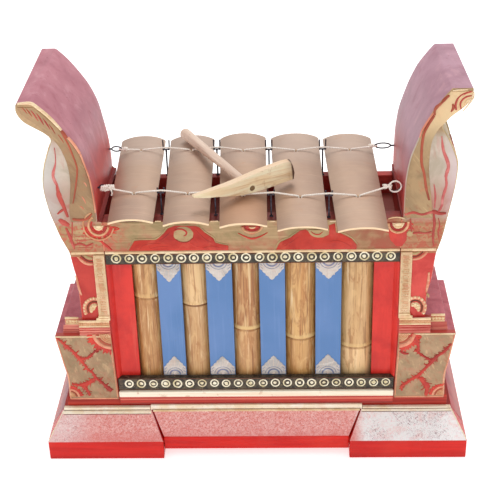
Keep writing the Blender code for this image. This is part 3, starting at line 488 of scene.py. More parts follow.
def horn_red(name, side):
    """Inner face of an end board: a painted mauve reflection high up on the horn, saturated red low down, dark on the
    ledge.
    """
    m = Mat(name, rough=0.5, coat=0.05, coat_rough=0.3, spec=0.18)
    tone = m.noise(18, 4, 0.6, 0.6)
    strokes = m.noise(1, 3, 0.6, 0.3, at=m.stretch((60, 34, 10)))
    low = m.mix(m.step(tone, 0.3, 0.7), lin(184, 52, 46), lin(214, 82, 72))
    # painted reflection: high up the horn the red enamel is coloured mauve, lilac on the right horn
    if side < 0:
        high = m.mix(m.step(tone, 0.3, 0.7), lin(178, 114, 126), lin(196, 134, 144))
    else:
        high = m.mix(m.step(tone, 0.3, 0.7), lin(172, 128, 142), lin(192, 150, 164))
    c = m.mix(m.step(m.z, 0.425, 0.520), low, high)
    c = m.mix(m.calc("MULTIPLY", m.step(strokes, 0.52, 0.75), 0.30), c, lin(226, 176, 182))
    c = m.mix(m.calc("MULTIPLY", m.step(strokes, 0.46, 0.28), 0.25), c, lin(150, 70, 80))
    c = m.mix(m.step(m.z, 0.4052, 0.4042), c, lin(132, 44, 40))
    c = m.mix(m.calc("MULTIPLY", m.step(m.z, 0.404, 0.385), 0.9), c, lin(186, 44, 36))
    specks = m.noise(170, 3, 0.6, 0.5)
    c = m.mix(m.calc("MULTIPLY", m.step(specks, 0.66, 0.72), 0.5), c, lin(140, 60, 66))
    return m.done(c, m.step(tone, 0.3, 0.7, 0.42, 0.56), m.bump(m.calc("ADD", strokes, m.calc("MULTIPLY", specks, 0.4)), 0.0005, 0.5))


mat_horn_in = {s: horn_red(f"horn_inner_{'left' if s < 0 else 'right'}", s) for s in (-1, 1)}


def horn_gold():
    """Front and outer face of the horns: gold with slanted carved strokes and red-brown patches, paler at the tips."""
    m = Mat("horn_gold", rough=0.5, metal=0.12)
    a = m.noise(24, 5, 0.6, 0.8)
    cuts = m.noise(1, 3, 0.6, 0.4, at=m.stretch((150, 40, 34), turn=(0, math.radians(38), 0)))
    c = m.mix(m.step(a, 0.36, 0.62), lin(150, 122, 86), lin(176, 144, 104))
    c = m.mix(m.calc("MULTIPLY", m.step(cuts, 0.55, 0.72), 0.55), c, lin(146, 88, 60))
    c = m.mix(m.calc("MULTIPLY", m.step(cuts, 0.42, 0.28), 0.45), c, lin(214, 184, 136))
    c = m.mix(m.calc("MULTIPLY", m.step(m.noise(60, 3, 0.6), 0.56, 0.72), 0.4), c, lin(196, 120, 84))
    c = m.mix(m.calc("MULTIPLY", m.step(m.x, 0.20, 0.27, 0.35, 1.0), m.step(m.z, 0.50, 0.57, 0.0, 0.70)), c, lin(244, 212, 164))
    c = m.mix(m.step(m.x, 0.0, -0.1, 0.0, 0.32), c, lin(128, 84, 56))
    high = m.calc("ADD", cuts, m.calc("MULTIPLY", a, 0.6))
    return m.done(c, m.step(a, 0.3, 0.7, 0.4, 0.6), m.bump(high, 0.0007, 0.7))


mat_horn_gold = horn_gold()


def board_front():
    """Front face of an end board: red field at the waist, gold band above it, a pale lobe beside the horn coloured as
    painted glare.
    """
    m = Mat("end_board_front", rough=0.5, spec=0.35)
    a = m.noise(24, 5, 0.6, 0.8)
    cuts = m.noise(1, 3, 0.6, 0.4, at=m.stretch((90, 40, 22), turn=(0, math.radians(8), 0)))
    lines = m.noise(1, 3, 0.6, 0.3, at=m.stretch((8, 60, 260)))
    gold = m.mix(m.step(a, 0.36, 0.62), lin(170, 144, 100), lin(198, 166, 122))
    # painted glare: the gold lobe is coloured pale grey-white, whitest towards the outer edge, tinted lilac at the
    # right and grey at the left
    upper = m.mix(m.step(a, 0.36, 0.62), lin(182, 166, 146), lin(206, 190, 174))
    upper = m.mix(m.calc("MULTIPLY", m.step(cuts, 0.55, 0.72), 0.45), upper, lin(196, 146, 132))
    upper = m.mix(m.calc("MULTIPLY", m.step(cuts, 0.42, 0.28), 0.55), upper, lin(240, 226, 214))
    out = m.calc("ABSOLUTE", m.x)
    upper = m.mix(m.step(out, 0.270, 0.298, 0.0, 0.55), upper, lin(236, 226, 222))
    upper = m.mix(m.calc("MULTIPLY", m.step(m.z, 0.490, 0.425), m.step(a, 0.38, 0.60, 0.35, 0.90)), upper, lin(176, 116, 98))
    upper = m.mix(m.calc("MULTIPLY", m.step(m.x, 0.272, 0.296), 0.5), upper, lin(208, 176, 184))
    upper = m.mix(m.calc("MULTIPLY", m.step(m.x, -0.268, -0.284), 0.4), upper, lin(186, 184, 178))
    tip = m.mix(m.step(a, 0.36, 0.62), lin(164, 134, 98), lin(196, 162, 122))
    upper = m.mix(m.step(m.z, 0.530, 0.545), upper, tip)
    band = m.mix(m.calc("MULTIPLY", m.step(lines, 0.5, 0.7), 0.6), gold, lin(208, 170, 128))
    band = m.mix(m.calc("MULTIPLY", m.step(lines, 0.46, 0.3), 0.6), band, lin(144, 100, 72))
    band = m.mix(m.step(m.z, 0.376, 0.356, 0.10, 0.45), band, lin(176, 96, 72))
    band = m.mix(m.calc("MULTIPLY", m.step(m.noise(110, 4, 0.6, 1.2), 0.46, 0.58), 0.70), band, lin(190, 80, 62))
    band = m.mix(m.step(m.x, 0.0, 0.1, 0.0, 0.32), band, lin(166, 78, 54))
    c = m.mix(m.step(m.z, 0.394, 0.412), band, upper)
    red = m.mix(m.step(m.x, 0.01, -0.01), m.mix(m.step(a, 0.3, 0.7), lin(192, 50, 44), lin(220, 80, 70)), m.mix(m.step(a, 0.3, 0.7), lin(172, 38, 32), lin(202, 62, 50)))
    c = m.mix(m.step(m.z, 0.3462, 0.3470), red, c)
    high = m.calc("ADD", cuts, m.calc("MULTIPLY", lines, 0.8))
    return m.done(c, m.step(m.z, 0.346, 0.347, 0.36, 0.52), m.bump(high, 0.0006, 0.6))


mat_board_front = board_front()


def block_paint():
    """End block: gold front and sides, dark glossy red on top, coloured mauve as a painted reflection."""
    m = Mat("end_block_paint", rough=0.45, metal=0.12)
    a = m.noise(26, 5, 0.62, 0.8)
    b = m.noise(75, 3, 0.55, 0.4)
    lines = m.noise(1, 3, 0.6, 0.5, at=m.stretch((140, 120, 60), turn=(0, math.radians(20), 0)))
    c = m.mix(m.step(a, 0.36, 0.62), lin(152, 126, 92), lin(178, 144, 110))
    c = m.mix(m.calc("MULTIPLY", m.step(b, 0.50, 0.70), 0.5), c, lin(188, 124, 98))
    c = m.mix(m.calc("MULTIPLY", m.step(lines, 0.55, 0.70), 0.55), c, lin(164, 96, 64))
    c = m.mix(m.calc("MULTIPLY", m.step(lines, 0.44, 0.30), 0.45), c, lin(222, 188, 142))
    c = m.mix(m.step(m.x, 0.0, -0.1, 0.0, 0.16), c, lin(120, 92, 62))
    stripes = m.noise(1, 3, 0.6, 0.3, at=m.stretch((10, 10, 420)))
    collar = m.mix(m.step(stripes, 0.38, 0.62), lin(184, 78, 66), lin(224, 138, 118))
    c = m.mix(m.step(m.z, 0.2081, 0.2086), c, collar)
    inward = m.calc("MULTIPLY", m.calc("SIGN", m.x), m.calc("MULTIPLY", m.nx, -1.0))
    c = m.mix(m.step(inward, 0.5, 0.8), c, lin(206, 50, 40))
    # painted reflection: the red top is coloured mauve
    top = m.mix(m.step(a, 0.3, 0.7), lin(178, 84, 98), lin(210, 122, 134))
    top = m.mix(m.calc("MULTIPLY", m.step(m.z, 0.2095, 0.2085), m.step(m.y, -0.0685, -0.0700)), top, lin(196, 84, 74))
    c = m.mix(m.step(m.nz, 0.5, 0.8), c, top)
    return m.done(c, m.step(m.nz, 0.5, 0.8, 0.48, 0.22), m.bump(m.calc("ADD", lines, b), 0.0006, 0.7))


def rail_paint():
    """Front rail: gold front, red everywhere behind it."""
    m = Mat("front_rail_paint", rough=0.46, metal=0.12)
    a = m.noise(20, 5, 0.62, 0.8)
    b = m.noise(60, 3, 0.55, 0.5)
    lines = m.noise(1, 4, 0.62, 0.25, at=m.stretch((9, 60, 300)))
    c = m.mix(m.step(a, 0.36, 0.62), lin(148, 128, 84), lin(178, 146, 104))
    c = m.mix(m.calc("MULTIPLY", m.step(b, 0.50, 0.70), 0.6), c, lin(176, 112, 84))
    c = m.mix(m.calc("MULTIPLY", m.step(lines, 0.52, 0.70), 0.55), c, lin(212, 178, 136))
    c = m.mix(m.calc("MULTIPLY", m.step(lines, 0.45, 0.30), 0.45), c, lin(140, 104, 70))
    c = m.mix(m.calc("MULTIPLY", m.step(m.z, 0.378, 0.356), m.step(b, 0.35, 0.6, 0.2, 0.75)), c, lin(178, 96, 70))
    ends = m.step(m.calc("ABSOLUTE", m.x), 0.165, 0.215)
    c = m.mix(m.calc("MULTIPLY", ends, m.step(m.noise(90, 4, 0.6, 1.2), 0.44, 0.60, 0.1, 0.7)), c, lin(198, 82, 62))
    c = m.mix(m.calc("MULTIPLY", m.step(m.x, 0.105, 0.185, 0.0, 0.75), m.step(b, 0.32, 0.56, 0.4, 1.0)), c, lin(160, 76, 52))
    back = m.mix(m.step(a, 0.3, 0.7), lin(120, 38, 34), lin(172, 70, 58))
    c = m.mix(m.step(m.ny, -0.6, -0.4), c, back)
    return m.done(c, m.step(m.ny, -0.6, -0.4, 0.5, 0.3), m.bump(m.calc("ADD", lines, b), 0.0005, 0.7))


def sill_paint():
    """Sill: cream lip above, red moulding with a light line below."""
    m = Mat("sill_paint", rough=0.34, coat=0.2)
    lines = m.noise(1, 3, 0.6, 0.3, at=m.stretch((6, 60, 240)))
    cream = m.mix(m.step(lines, 0.4, 0.65), lin(255, 246, 224), lin(246, 224, 194))
    cream = m.mix(m.calc("MULTIPLY", m.step(m.noise(60, 4, 0.6), 0.62, 0.72), 0.5), cream, lin(196, 140, 100))
    red = m.mix(m.step(lines, 0.35, 0.65), lin(178, 44, 36), lin(208, 70, 54))
    light = m.step(m.calc("ABSOLUTE", m.calc("SUBTRACT", m.z, 0.0846)), 0.0016, 0.0006)
    red = m.mix(m.calc("MULTIPLY", light, 0.7), red, lin(230, 134, 104))
    red = m.mix(m.step(m.z, 0.0792, 0.0772), red, lin(150, 36, 30))
    c = m.mix(m.step(m.z, 0.0898, 0.0905), red, cream)
    return m.done(c, None, m.bump(lines, 0.0004, 0.5))


def band_paint():
    """Base board: plain dark red band; on its sloping ends less specular gloss and a painted reflection in the colour
    instead, mauve on the left and redder on the right.
    """
    m = Mat("base_band_paint", rough=0.38, coat=0.03, spec=0.30)
    a = m.noise(20, 4, 0.6, 0.5)
    lines = m.noise(1, 3, 0.6, 0.3, at=m.stretch((7, 7, 200)))
    c = m.mix(m.step(lines, 0.35, 0.65), lin(152, 34, 24), lin(186, 56, 40))
    # painted reflection: mauve on the sloping ends, redder at the right end
    slope = m.mix(m.step(a, 0.3, 0.7), lin(128, 56, 66), lin(170, 100, 108))
    slope = m.mix(m.step(m.x, -0.1, 0.1), slope, m.mix(m.step(a, 0.3, 0.7), lin(142, 36, 40), lin(184, 66, 66)))
    tilt = m.calc("MULTIPLY", m.step(m.nz, 0.3, 0.5), m.step(m.calc("ABSOLUTE", m.nx), 0.3, 0.5))
    c = m.mix(tilt, c, slope)
    m.put(m.shader.inputs["Specular IOR Level"], m.calc("SUBTRACT", 0.30, m.calc("MULTIPLY", tilt, 0.24)))
    upright = m.calc("MULTIPLY", m.step(m.z, 0.034, 0.0325), m.step(m.calc("ABSOLUTE", m.nx), 0.5, 0.8))
    c = m.mix(upright, c, lin(206, 46, 34))
    return m.done(c, None, m.bump(m.calc("ADD", a, lines), 0.0005, 0.5))


mat_block, mat_rail, mat_sill, mat_band = block_paint(), rail_paint(), sill_paint(), band_paint()
mat_panel = enamel("rear_panel_red", lin(158, 44, 38), lin(196, 66, 56), lin(216, 100, 86), (7, 60, 60), rough=0.4)


# ---------------------------------------------------------------- mesh tools
def keep(name, bm, material=None, body="case", smooth=35):
    """bmesh to a riding object."""
    bmesh.ops.recalc_face_normals(bm, faces=bm.faces)
    for f in bm.faces:
        f.smooth = True
    for e in bm.edges:
        if len(e.link_faces) == 2 and e.calc_face_angle(0) > math.radians(smooth):
            e.smooth = False
    mesh = bpy.data.meshes.new(name)
    bm.to_mesh(mesh)
    bm.free()
    obj = bpy.data.objects.new(name, mesh)
    bpy.context.scene.collection.objects.link(obj)
    if material is not None:
        mesh.materials.append(material)
    if body:
        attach(obj, body)
    return obj


def bevel(obj, width, segments=2, angle=40):
    b = obj.modifiers.new("edges", "BEVEL")
    b.width, b.segments, b.limit_method, b.angle_limit = width, segments, "ANGLE", math.radians(angle)
    b.harden_normals = False
    return obj


def spline(points, steps=4):
    """Catmull-Rom curve through points of any dimension, open ended."""
    out, n = [], len(points)
    for i in range(n - 1):
        p = [points[max(0, min(n - 1, k))] for k in (i - 1, i, i + 1, i + 2)]
        for s in range(steps):
            t = s / steps
            out.append(tuple(
                0.5 * (2 * b + (c - a) * t + (2 * a - 5 * b + 4 * c - d) * t * t + (3 * b - a - 3 * c + d) * t**3)
                for a, b, c, d in zip(*p)
            ))
    out.append(tuple(points[-1]))
    return out


def frame_of(axis):
    axis = Vector(axis).normalized()
    side = axis.cross(Vector((0, 0, 1)))
    if side.length < 1e-4:
        side = Vector((1, 0, 0))
    side.normalize()
    return side, axis.cross(side).normalized()


def loft_into(bm, rings, caps=True, closed=False):
    loops = [[bm.verts.new(p) for p in ring] for ring in rings]
    n = len(loops[0])
    pairs = list(zip(loops, loops[1:])) + ([(loops[-1], loops[0])] if closed else [])
    for a, b in pairs:
        for i in range(n):
            j = (i + 1) % n
            bm.faces.new((a[i], a[j], b[j], b[i]))
    if caps and not closed:
        bm.faces.new(loops[0])
        bm.faces.new(list(reversed(loops[-1])))


def lathe_into(bm, origin, axis, profile, n=32, wobble=None):
    """Body of revolution. Profile: (distance along the axis, radius); radius 0 closes an end."""
    origin, axis = Vector(origin), Vector(axis).normalized()
    u, v = frame_of(axis)
    loops = []
    for d, r in profile:
        base = origin + axis * d
        if r == 0:
            loops.append([bm.verts.new(base)])
            continue
        ring = []
        for i in range(n):
            a = 2 * math.pi * i / n
            k = r * (1 + (wobble(a, d) if wobble else 0))
            ring.append(bm.verts.new(base + (u * math.cos(a) + v * math.sin(a)) * k))
        loops.append(ring)
    for a, b in zip(loops, loops[1:]):
        for i in range(n):
            j = (i + 1) % n
            if len(a) == 1:
                bm.faces.new((a[0], b[i], b[j]))
            elif len(b) == 1:
                bm.faces.new((a[i], b[0], a[j]))
            else:
                bm.faces.new((a[i], b[i], b[j], a[j]))


def sweep_into(bm, path, section, closed=False, caps=True):
    """Carries a cross-section along a path without twist. section(share, length so far) gives (side, up) offsets."""
    pts = [Vector(p) for p in path]
    count = len(pts)
    side, _ = frame_of(pts[1] - pts[0])
    rings, run = [], 0.0
    total = sum((b - a).length for a, b in zip(pts, pts[1:]))
    for i, p in enumerate(pts):
        a = pts[i - 1] if (i > 0 or closed) else p
        b = pts[(i + 1) % count] if (i < count - 1 or closed) else p
        t = (b - a).normalized()
        if i:
            run += (p - pts[i - 1]).length
        side = (side - t * side.dot(t)).normalized()
        up = t.cross(side)
        rings.append([p + side * s + up * h for s, h in section(run / total, run)])
    loft_into(bm, rings, caps, closed)


def even(path, gap):
    """The same path with its points an even distance apart, about gap."""
    pts = [Vector(p) for p in path]
    runs = [0.0]
    for a, b in zip(pts, pts[1:]):
        runs.append(runs[-1] + (b - a).length)
    n = max(2, round(runs[-1] / gap))
    out, k = [], 0
    for i in range(n + 1):
        want = runs[-1] * i / n
        while k < len(pts) - 2 and runs[k + 1] < want:
            k += 1
        span = runs[k + 1] - runs[k]
        out.append(pts[k].lerp(pts[k + 1], (want - runs[k]) / span if span > 0 else 0))
    return out


def round_section(r, n=10):
    return lambda share, run: [(r * math.cos(2 * math.pi * k / n), r * math.sin(2 * math.pi * k / n)) for k in range(n)]


def rope_section(r, pitch=0.0058, strands=2, start=0.0, n=12, lobe=0.2):
    """Outline of a twisted cord, turning with the length along it."""
    def at(share, run):
        out = []
        for k in range(n):
            a = 2 * math.pi * k / n
            turn = 2 * math.pi * (run + start) / pitch
            q = r * (1 + lobe * (abs(math.cos((a - turn) * strands / 2)) - 0.55))
            out.append((q * math.cos(a), q * math.sin(a)))
        return out
    return at


def combine(target, others, operation):
    for other in others:
        mod = target.modifiers.new("cut", "BOOLEAN")
        mod.solver, mod.operation, mod.object = "EXACT", operation, other
        graph = bpy.context.evaluated_depsgraph_get()
        mesh = bpy.data.meshes.new_from_object(target.evaluated_get(graph))
        target.modifiers.remove(mod)
        old, target.data = target.data, mesh
        bpy.data.meshes.remove(old)
        bpy.data.objects.remove(other, do_unlink=True)
    return target


def loose(name, bm):
    """Object that belongs to no body, for a cut."""
    bmesh.ops.recalc_face_normals(bm, faces=bm.faces)
    mesh = bpy.data.meshes.new(name)
    bm.to_mesh(mesh)
    bm.free()
    obj = bpy.data.objects.new(name, mesh)
    bpy.context.scene.collection.objects.link(obj)
    return obj


class Relief:
    """Raised work gathered into one mesh. where(u, v, h) gives the point h above the surface at u, v."""

    def __init__(self, name, where, material, slot, body="case", sink=0.0003):
        self.name, self.where, self.material, self.slot, self.body, self.sink = name, where, material, slot, body, sink
        self.bm = bmesh.new()

    def ridge(self, pts, width, height=0.0008, steps=5, closed=False, flat=0.0, taper=None, wild=0.0):
        """Rounded bead along pts, each (u, v), with one width or one per point."""
        widths = list(width) if isinstance(width, (list, tuple)) else [width] * len(pts)
        if taper:
            n = len(pts)
            widths = [w * (taper + (1 - taper) * min(1.0, 2.2 * min(i + 0.15, n - 1 - i + 0.15) / max(1, n - 1))) for i, w in enumerate(widths)]
        pts3 = [(u, v, w) for (u, v), w in zip(pts, widths)]
        line = spline(pts3, steps) if steps > 1 and len(pts3) > 2 else pts3
        count = len(line)
        rings = []
        for i, (u, v, w) in enumerate(line):
            a = line[i - 1] if (i > 0 or closed) else line[i]
            b = line[(i + 1) % count] if (i < count - 1 or closed) else line[i]
            du, dv = b[0] - a[0], b[1] - a[1]
            size = math.hypot(du, dv) or 1.0
            nu, nv = -dv / size, du / size
            if wild:
                w *= 1 + wild * (rng.random() - 0.5)
            top = 1.0 if flat == 0 else 0.92
            section = ((-0.5, -self.sink), (-0.48, height * 0.35), (-0.30, height * 0.86), (0, height * (1.0 if not flat else top)), (0.30, height * 0.86), (0.48, height * 0.35), (0.5, -self.sink))
            rings.append([self.where(u + nu * w * s, v + nv * w * s, h) for s, h in section])
        loft_into(self.bm, rings, True, closed)
        return self

    def arc(self, u, v, r, width, height=0.0008, a0=0.0, a1=360.0, squash=1.0, n=None, wild=0.0, grow=None):
        """Ring or part of one round (u, v); r is the radius of its middle line, angles from +u towards +v."""
        full = abs(a1 - a0) >= 359.9
        n = n or max(8, int(abs(a1 - a0) / 12))
        pts = []
        for i in range(n + (0 if full else 1)):
            t = i / n
            a = math.radians(a0 + (a1 - a0) * t)
            k = r * (1 + (wild * (rng.random() - 0.5) if wild else 0)) * (1 + (grow * t if grow else 0))
            pts.append((u + k * math.cos(a), v + k * math.sin(a) * squash))
        return self.ridge(pts, width, height, steps=1, closed=full)

    def dome(self, u, v, r, height=0.001, squash=1.0, n=16, wild=0.0, a0=0.0, a1=360.0):
        """Low round boss."""
        full = abs(a1 - a0) >= 359.9
        rings = []
        kinks = [1 + wild * (rng.random() - 0.5) for _ in range(n)]
        for share, h in ((1.0, -self.sink), (0.98, height * 0.35), (0.80, height * 0.78), (0.45, height * 0.97)):
            ring = []
            for i in range(n):
                a = math.radians(a0 + (a1 - a0) * i / (n if full else n - 1))
                ring.append(self.where(u + r * share * kinks[i] * math.cos(a), v + r * share * kinks[i] * math.sin(a) * squash, h))
            if not full:
                ring.append(self.where(u, v, h))
            rings.append(ring)
        loft_into(self.bm, rings)
        return self

    def field(self, outline, height=0.0005, edge=0.00035, steps=1):
        """Flat raised patch with a closed outline and softened rim."""
        line = [p[:2] for p in (spline(list(outline) + [outline[0]], steps)[:-1] if steps > 1 else outline)]
        area = sum(a[0] * b[1] - b[0] * a[1] for a, b in zip(line, line[1:] + line[:1]))
        if area < 0:
            line.reverse()
        n = len(line)
        inner = []
        for i in range(n):
            a, p, b = line[i - 1], line[i], line[(i + 1) % n]
            d1, d2 = Vector((p[0] - a[0], p[1] - a[1])), Vector((b[0] - p[0], b[1] - p[1]))
            d1 = d1.normalized() if d1.length else d2.normalized()
            d2 = d2.normalized() if d2.length else d1
            m = Vector((-(d1.y + d2.y), d1.x + d2.x))
            m = m.normalized() if m.length > 1e-6 else Vector((-d1.y, d1.x))
            inner.append((p[0] + m.x * edge, p[1] + m.y * edge))
        rings = [[self.where(u, v, -self.sink) for u, v in line], [self.where(u, v, height * 0.6) for u, v in line], [self.where(u, v, height) for u, v in inner]]
        loops = [[self.bm.verts.new(p) for p in ring] for ring in rings]
        for a, b in zip(loops, loops[1:]):
            for i in range(n):
                j = (i + 1) % n
                self.bm.faces.new((a[i], a[j], b[j], b[i]))
        for corners in tessellate_polygon([[Vector((u, v, 0)) for u, v in line]]):
            i, j, k = corners
            turn = (line[j][0] - line[i][0]) * (line[k][1] - line[i][1]) - (line[j][1] - line[i][1]) * (line[k][0] - line[i][0])
            if abs(turn) < 1e-14:
                continue
            if turn < 0:
                j, k = k, j
            for ring, order in ((loops[-1], (i, j, k)), (loops[0], (i, k, j))):
                try:
                    self.bm.faces.new([ring[t] for t in order])
                except ValueError:
                    pass
        return self

    def strip(self, rows, height, edge):
        """Raised strip from rows (v, u0, u1); follows a surface that bends along v."""
        rings = []
        for v, u0, u1 in rows:
            way = 1 if u1 > u0 else -1
            e = min(edge, abs(u1 - u0) * 0.3) * way
            section = [(u0, -self.sink), (u0 + e * 0.15, height * 0.55), (u0 + e, height)]
            section += [(u0 + e + (u1 - u0 - 2 * e) * k / 4, height * 1.0) for k in (1, 2, 3)]
            section += [(u1 - e, height), (u1 - e * 0.15, height * 0.55), (u1, -self.sink)]
            rings.append([self.where(u, v, h) for u, h in section])
        loft_into(self.bm, rings)
        return self

    def leaf(self, u, v, angle, length, width, height=0.0008, bend=0.0):
        """Pointed leaf from its root at (u, v)."""
        a = math.radians(angle)
        pts, widths = [], []
        for i in range(7):
            t = i / 6
            off = bend * length * math.sin(math.pi * t * 0.8)
            pts.append((u + math.cos(a) * length * t - math.sin(a) * off, v + math.sin(a) * length * t + math.cos(a) * off))
            widths.append(width * (0.25 + 1.0 * math.sin(math.pi * min(1, t * 1.05)) ** 0.8) if t < 0.98 else width * 0.08)
        return self.ridge(pts, widths, height, steps=2)

    def scroll(self, u, v, r, start, turns, width, height=0.0009, turn=1):
        """Spiral curl that ends near (u, v)."""
        pts, widths, n = [], [], 22
        for i in range(n):
            t = i / (n - 1)
            k = r * (1 - 0.84 * t)
            a = math.radians(start) + turn * 2 * math.pi * turns * t
            pts.append((u + k * math.cos(a), v + k * math.sin(a)))
            widths.append(width * (1 - 0.55 * t))
        self.ridge(pts, widths, height, steps=1)
        return self.dome(u + r * 0.1 * math.cos(a), v + r * 0.1 * math.sin(a), width * 0.55, height * 1.1, n=10)

    def done(self):
        return keep(self.name, self.bm, self.material, self.body, 50)


def front_of(y):
    """Surface that looks to -Y at the plane y."""
    return lambda u, v, h: Vector((u, y - h, v))


def back_of(y):
    return lambda u, v, h: Vector((u, y + h, v))


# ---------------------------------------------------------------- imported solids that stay: welded, softened edges, painted
def soften(obj, width):
    """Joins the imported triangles, shades them smooth up to 35 degrees and rounds the edges."""
    group = bpy.data.node_groups.get("weld and smooth")
    if group is None:
        group = bpy.data.node_groups.new("weld and smooth", "GeometryNodeTree")
        group.interface.new_socket("Geometry", in_out="INPUT", socket_type="NodeSocketGeometry")
        group.interface.new_socket("Geometry", in_out="OUTPUT", socket_type="NodeSocketGeometry")
        new, link = group.nodes.new, group.links.new
        start, end = new("NodeGroupInput"), new("NodeGroupOutput")
        merge = new("GeometryNodeMergeByDistance")
        merge.inputs["Distance"].default_value = 1e-5
        drop = new("GeometryNodeRemoveAttribute")
        drop.inputs["Name"].default_value = "custom_normal"
        faces = new("GeometryNodeSetShadeSmooth")
        faces.domain = "FACE"
        faces.inputs["Shade Smooth"].default_value = True
        edges = new("GeometryNodeSetShadeSmooth")
        edges.domain = "EDGE"
        edges.inputs["Shade Smooth"].default_value = False
        angle = new("GeometryNodeInputMeshEdgeAngle")
        wide = new("FunctionNodeCompare")
        wide.operation = "GREATER_THAN"
        wide.inputs[1].default_value = math.radians(35)
        link(angle.outputs["Unsigned Angle"], wide.inputs[0])
        link(start.outputs[0], merge.inputs["Geometry"])
        link(merge.outputs["Geometry"], drop.inputs["Geometry"])
        link(drop.outputs["Geometry"], faces.inputs["Geometry"])
        link(faces.outputs["Geometry"], edges.inputs["Geometry"])
        link(wide.outputs[0], edges.inputs["Selection"])
        link(edges.outputs["Geometry"], end.inputs[0])
    m = obj.modifiers.new("weld", "NODES")
    m.node_group = group
    flat = obj.modifiers.new("flat faces", "DECIMATE")
    flat.decimate_type, flat.angle_limit = "DISSOLVE", math.radians(0.6)
    if width:
        bevel(obj, width, 2, 40)


def paint(name, material, width=0.0008):
    obj = nodes[name]
    for s in obj.material_slots:
        s.material = material
    soften(obj, width)


for name in ("base_foot_left", "base_foot_right", "base_front_centre", "base_rear"):
    paint(name, mat_slope, 0.0011)
paint("base_board", mat_band, 0.0009)
for name in ("end_block_left", "end_block_right"):
    paint(name, mat_block, 0.0009)
paint("front_rail", mat_rail, 0.0009)
paint("rear_panel", mat_panel, 0.0009)
for name in ("ring_strip_upper", "ring_strip_lower"):
    paint(name, mat_strip, 0.0006)
paint("sill_moulding", mat_sill, 0.0006)
for i in range(1, 5):
    paint(f"blue_board_{i}", mat_blue, 0.0005)
for name in ("red_board_left", "red_board_right"):
    paint(name, mat_red, 0.0005)
for name in ("pilaster_left", "pilaster_right"):
    paint(name, mat_pilaster, 0.0006)
paint("resonator_rack", mat_rack, 0.0006)

# ---------------------------------------------------------------- end boards
HORN_OUT = {
    -1: [
        (-0.3213, 0.5960), (-0.3222, 0.5833), (-0.3140, 0.5690), (-0.2972, 0.5572), (-0.2855, 0.5490), (-0.2790, 0.5390),
        (-0.2860, 0.5190), (-0.2940, 0.4956), (-0.2988, 0.4700), (-0.2982, 0.4479), (-0.2939, 0.4206), (-0.2886, 0.4013),
        (-0.2831, 0.3821), (-0.2768, 0.3661), (-0.2716, 0.3534), (-0.2702, 0.3440), (-0.2676, 0.3255), (-0.2653, 0.3115),
        (-0.2638, 0.2900), (-0.2632, BLOCK_TOP + GAP),
    ],
    1: [
        (0.3104, 0.6035), (0.3090, 0.5892), (0.2990, 0.5760), (0.2845, 0.5644), (0.2740, 0.5530), (0.2712, 0.5450),
        (0.2787, 0.5320), (0.2887, 0.5103), (0.2945, 0.4908), (0.2941, 0.4657), (0.2908, 0.4402), (0.2855, 0.4095),
        (0.2820, 0.3881), (0.2784, 0.3699), (0.2745, 0.3560), (0.2717, 0.3470), (0.2696, 0.3328), (0.2682, 0.3164),
        (0.2655, 0.2960), (0.2612, 0.2775), (0.2601, 0.2620), (0.2601, BLOCK_TOP + GAP),
    ],
}
HORN_IN = {
    -1: [
        (-0.2252, 0.4046), (-0.2254, 0.4317), (-0.2276, 0.4604), (-0.2331, 0.4909), (-0.2397, 0.5161), (-0.2507, 0.5385),
        (-0.2612, 0.5535), (-0.2812, 0.5781), (-0.2991, 0.5960),
    ],
    1: [
        (0.2209, 0.4046), (0.2212, 0.4436), (0.2224, 0.4715), (0.2268, 0.4990), (0.2350, 0.5235), (0.2448, 0.5475),
        (0.2569, 0.5714), (0.2700, 0.5898), (0.2812, 0.6035),
    ],
}


def flare(z, amount):
    t = max(0.0, min(1.0, (z - 0.47) / 0.12))
    return amount * t * t * (3 - 2 * t)


def table_of(points):
    """x as a function of z from a curve whose z only rises or falls."""
    line = sorted(spline(points, 10), key=lambda p: p[1])
    def at(z):
        if z <= line[0][1]:
            return line[0][0]
        for (x0, z0), (x1, z1) in zip(line, line[1:]):
            if z <= z1:
                return x0 + (x1 - x0) * ((z - z0) / (z1 - z0) if z1 > z0 else 0)
        return line[-1][0]
    return at


OUT_X = {s: table_of(HORN_OUT[s]) for s in (-1, 1)}
_in = {s: table_of(HORN_IN[s]) for s in (-1, 1)}


def in_x(side, z):
    return side * INNER_X if z < 0.40430 else _in[side](z)


BOARD_FRONT = {-1: lambda z: CASE_FRONT - flare(z, 0.010), 1: lambda z: CASE_FRONT + flare(z, 0.004)}
BOARD_REAR = {-1: lambda z: CASE_REAR + flare(z, 0.027), 1: lambda z: CASE_REAR - flare(z, 0.002)}
BOARD_LEAN = {-1: lambda z: -flare(z, 0.0015), 1: lambda z: -flare(z, 0.0055)}


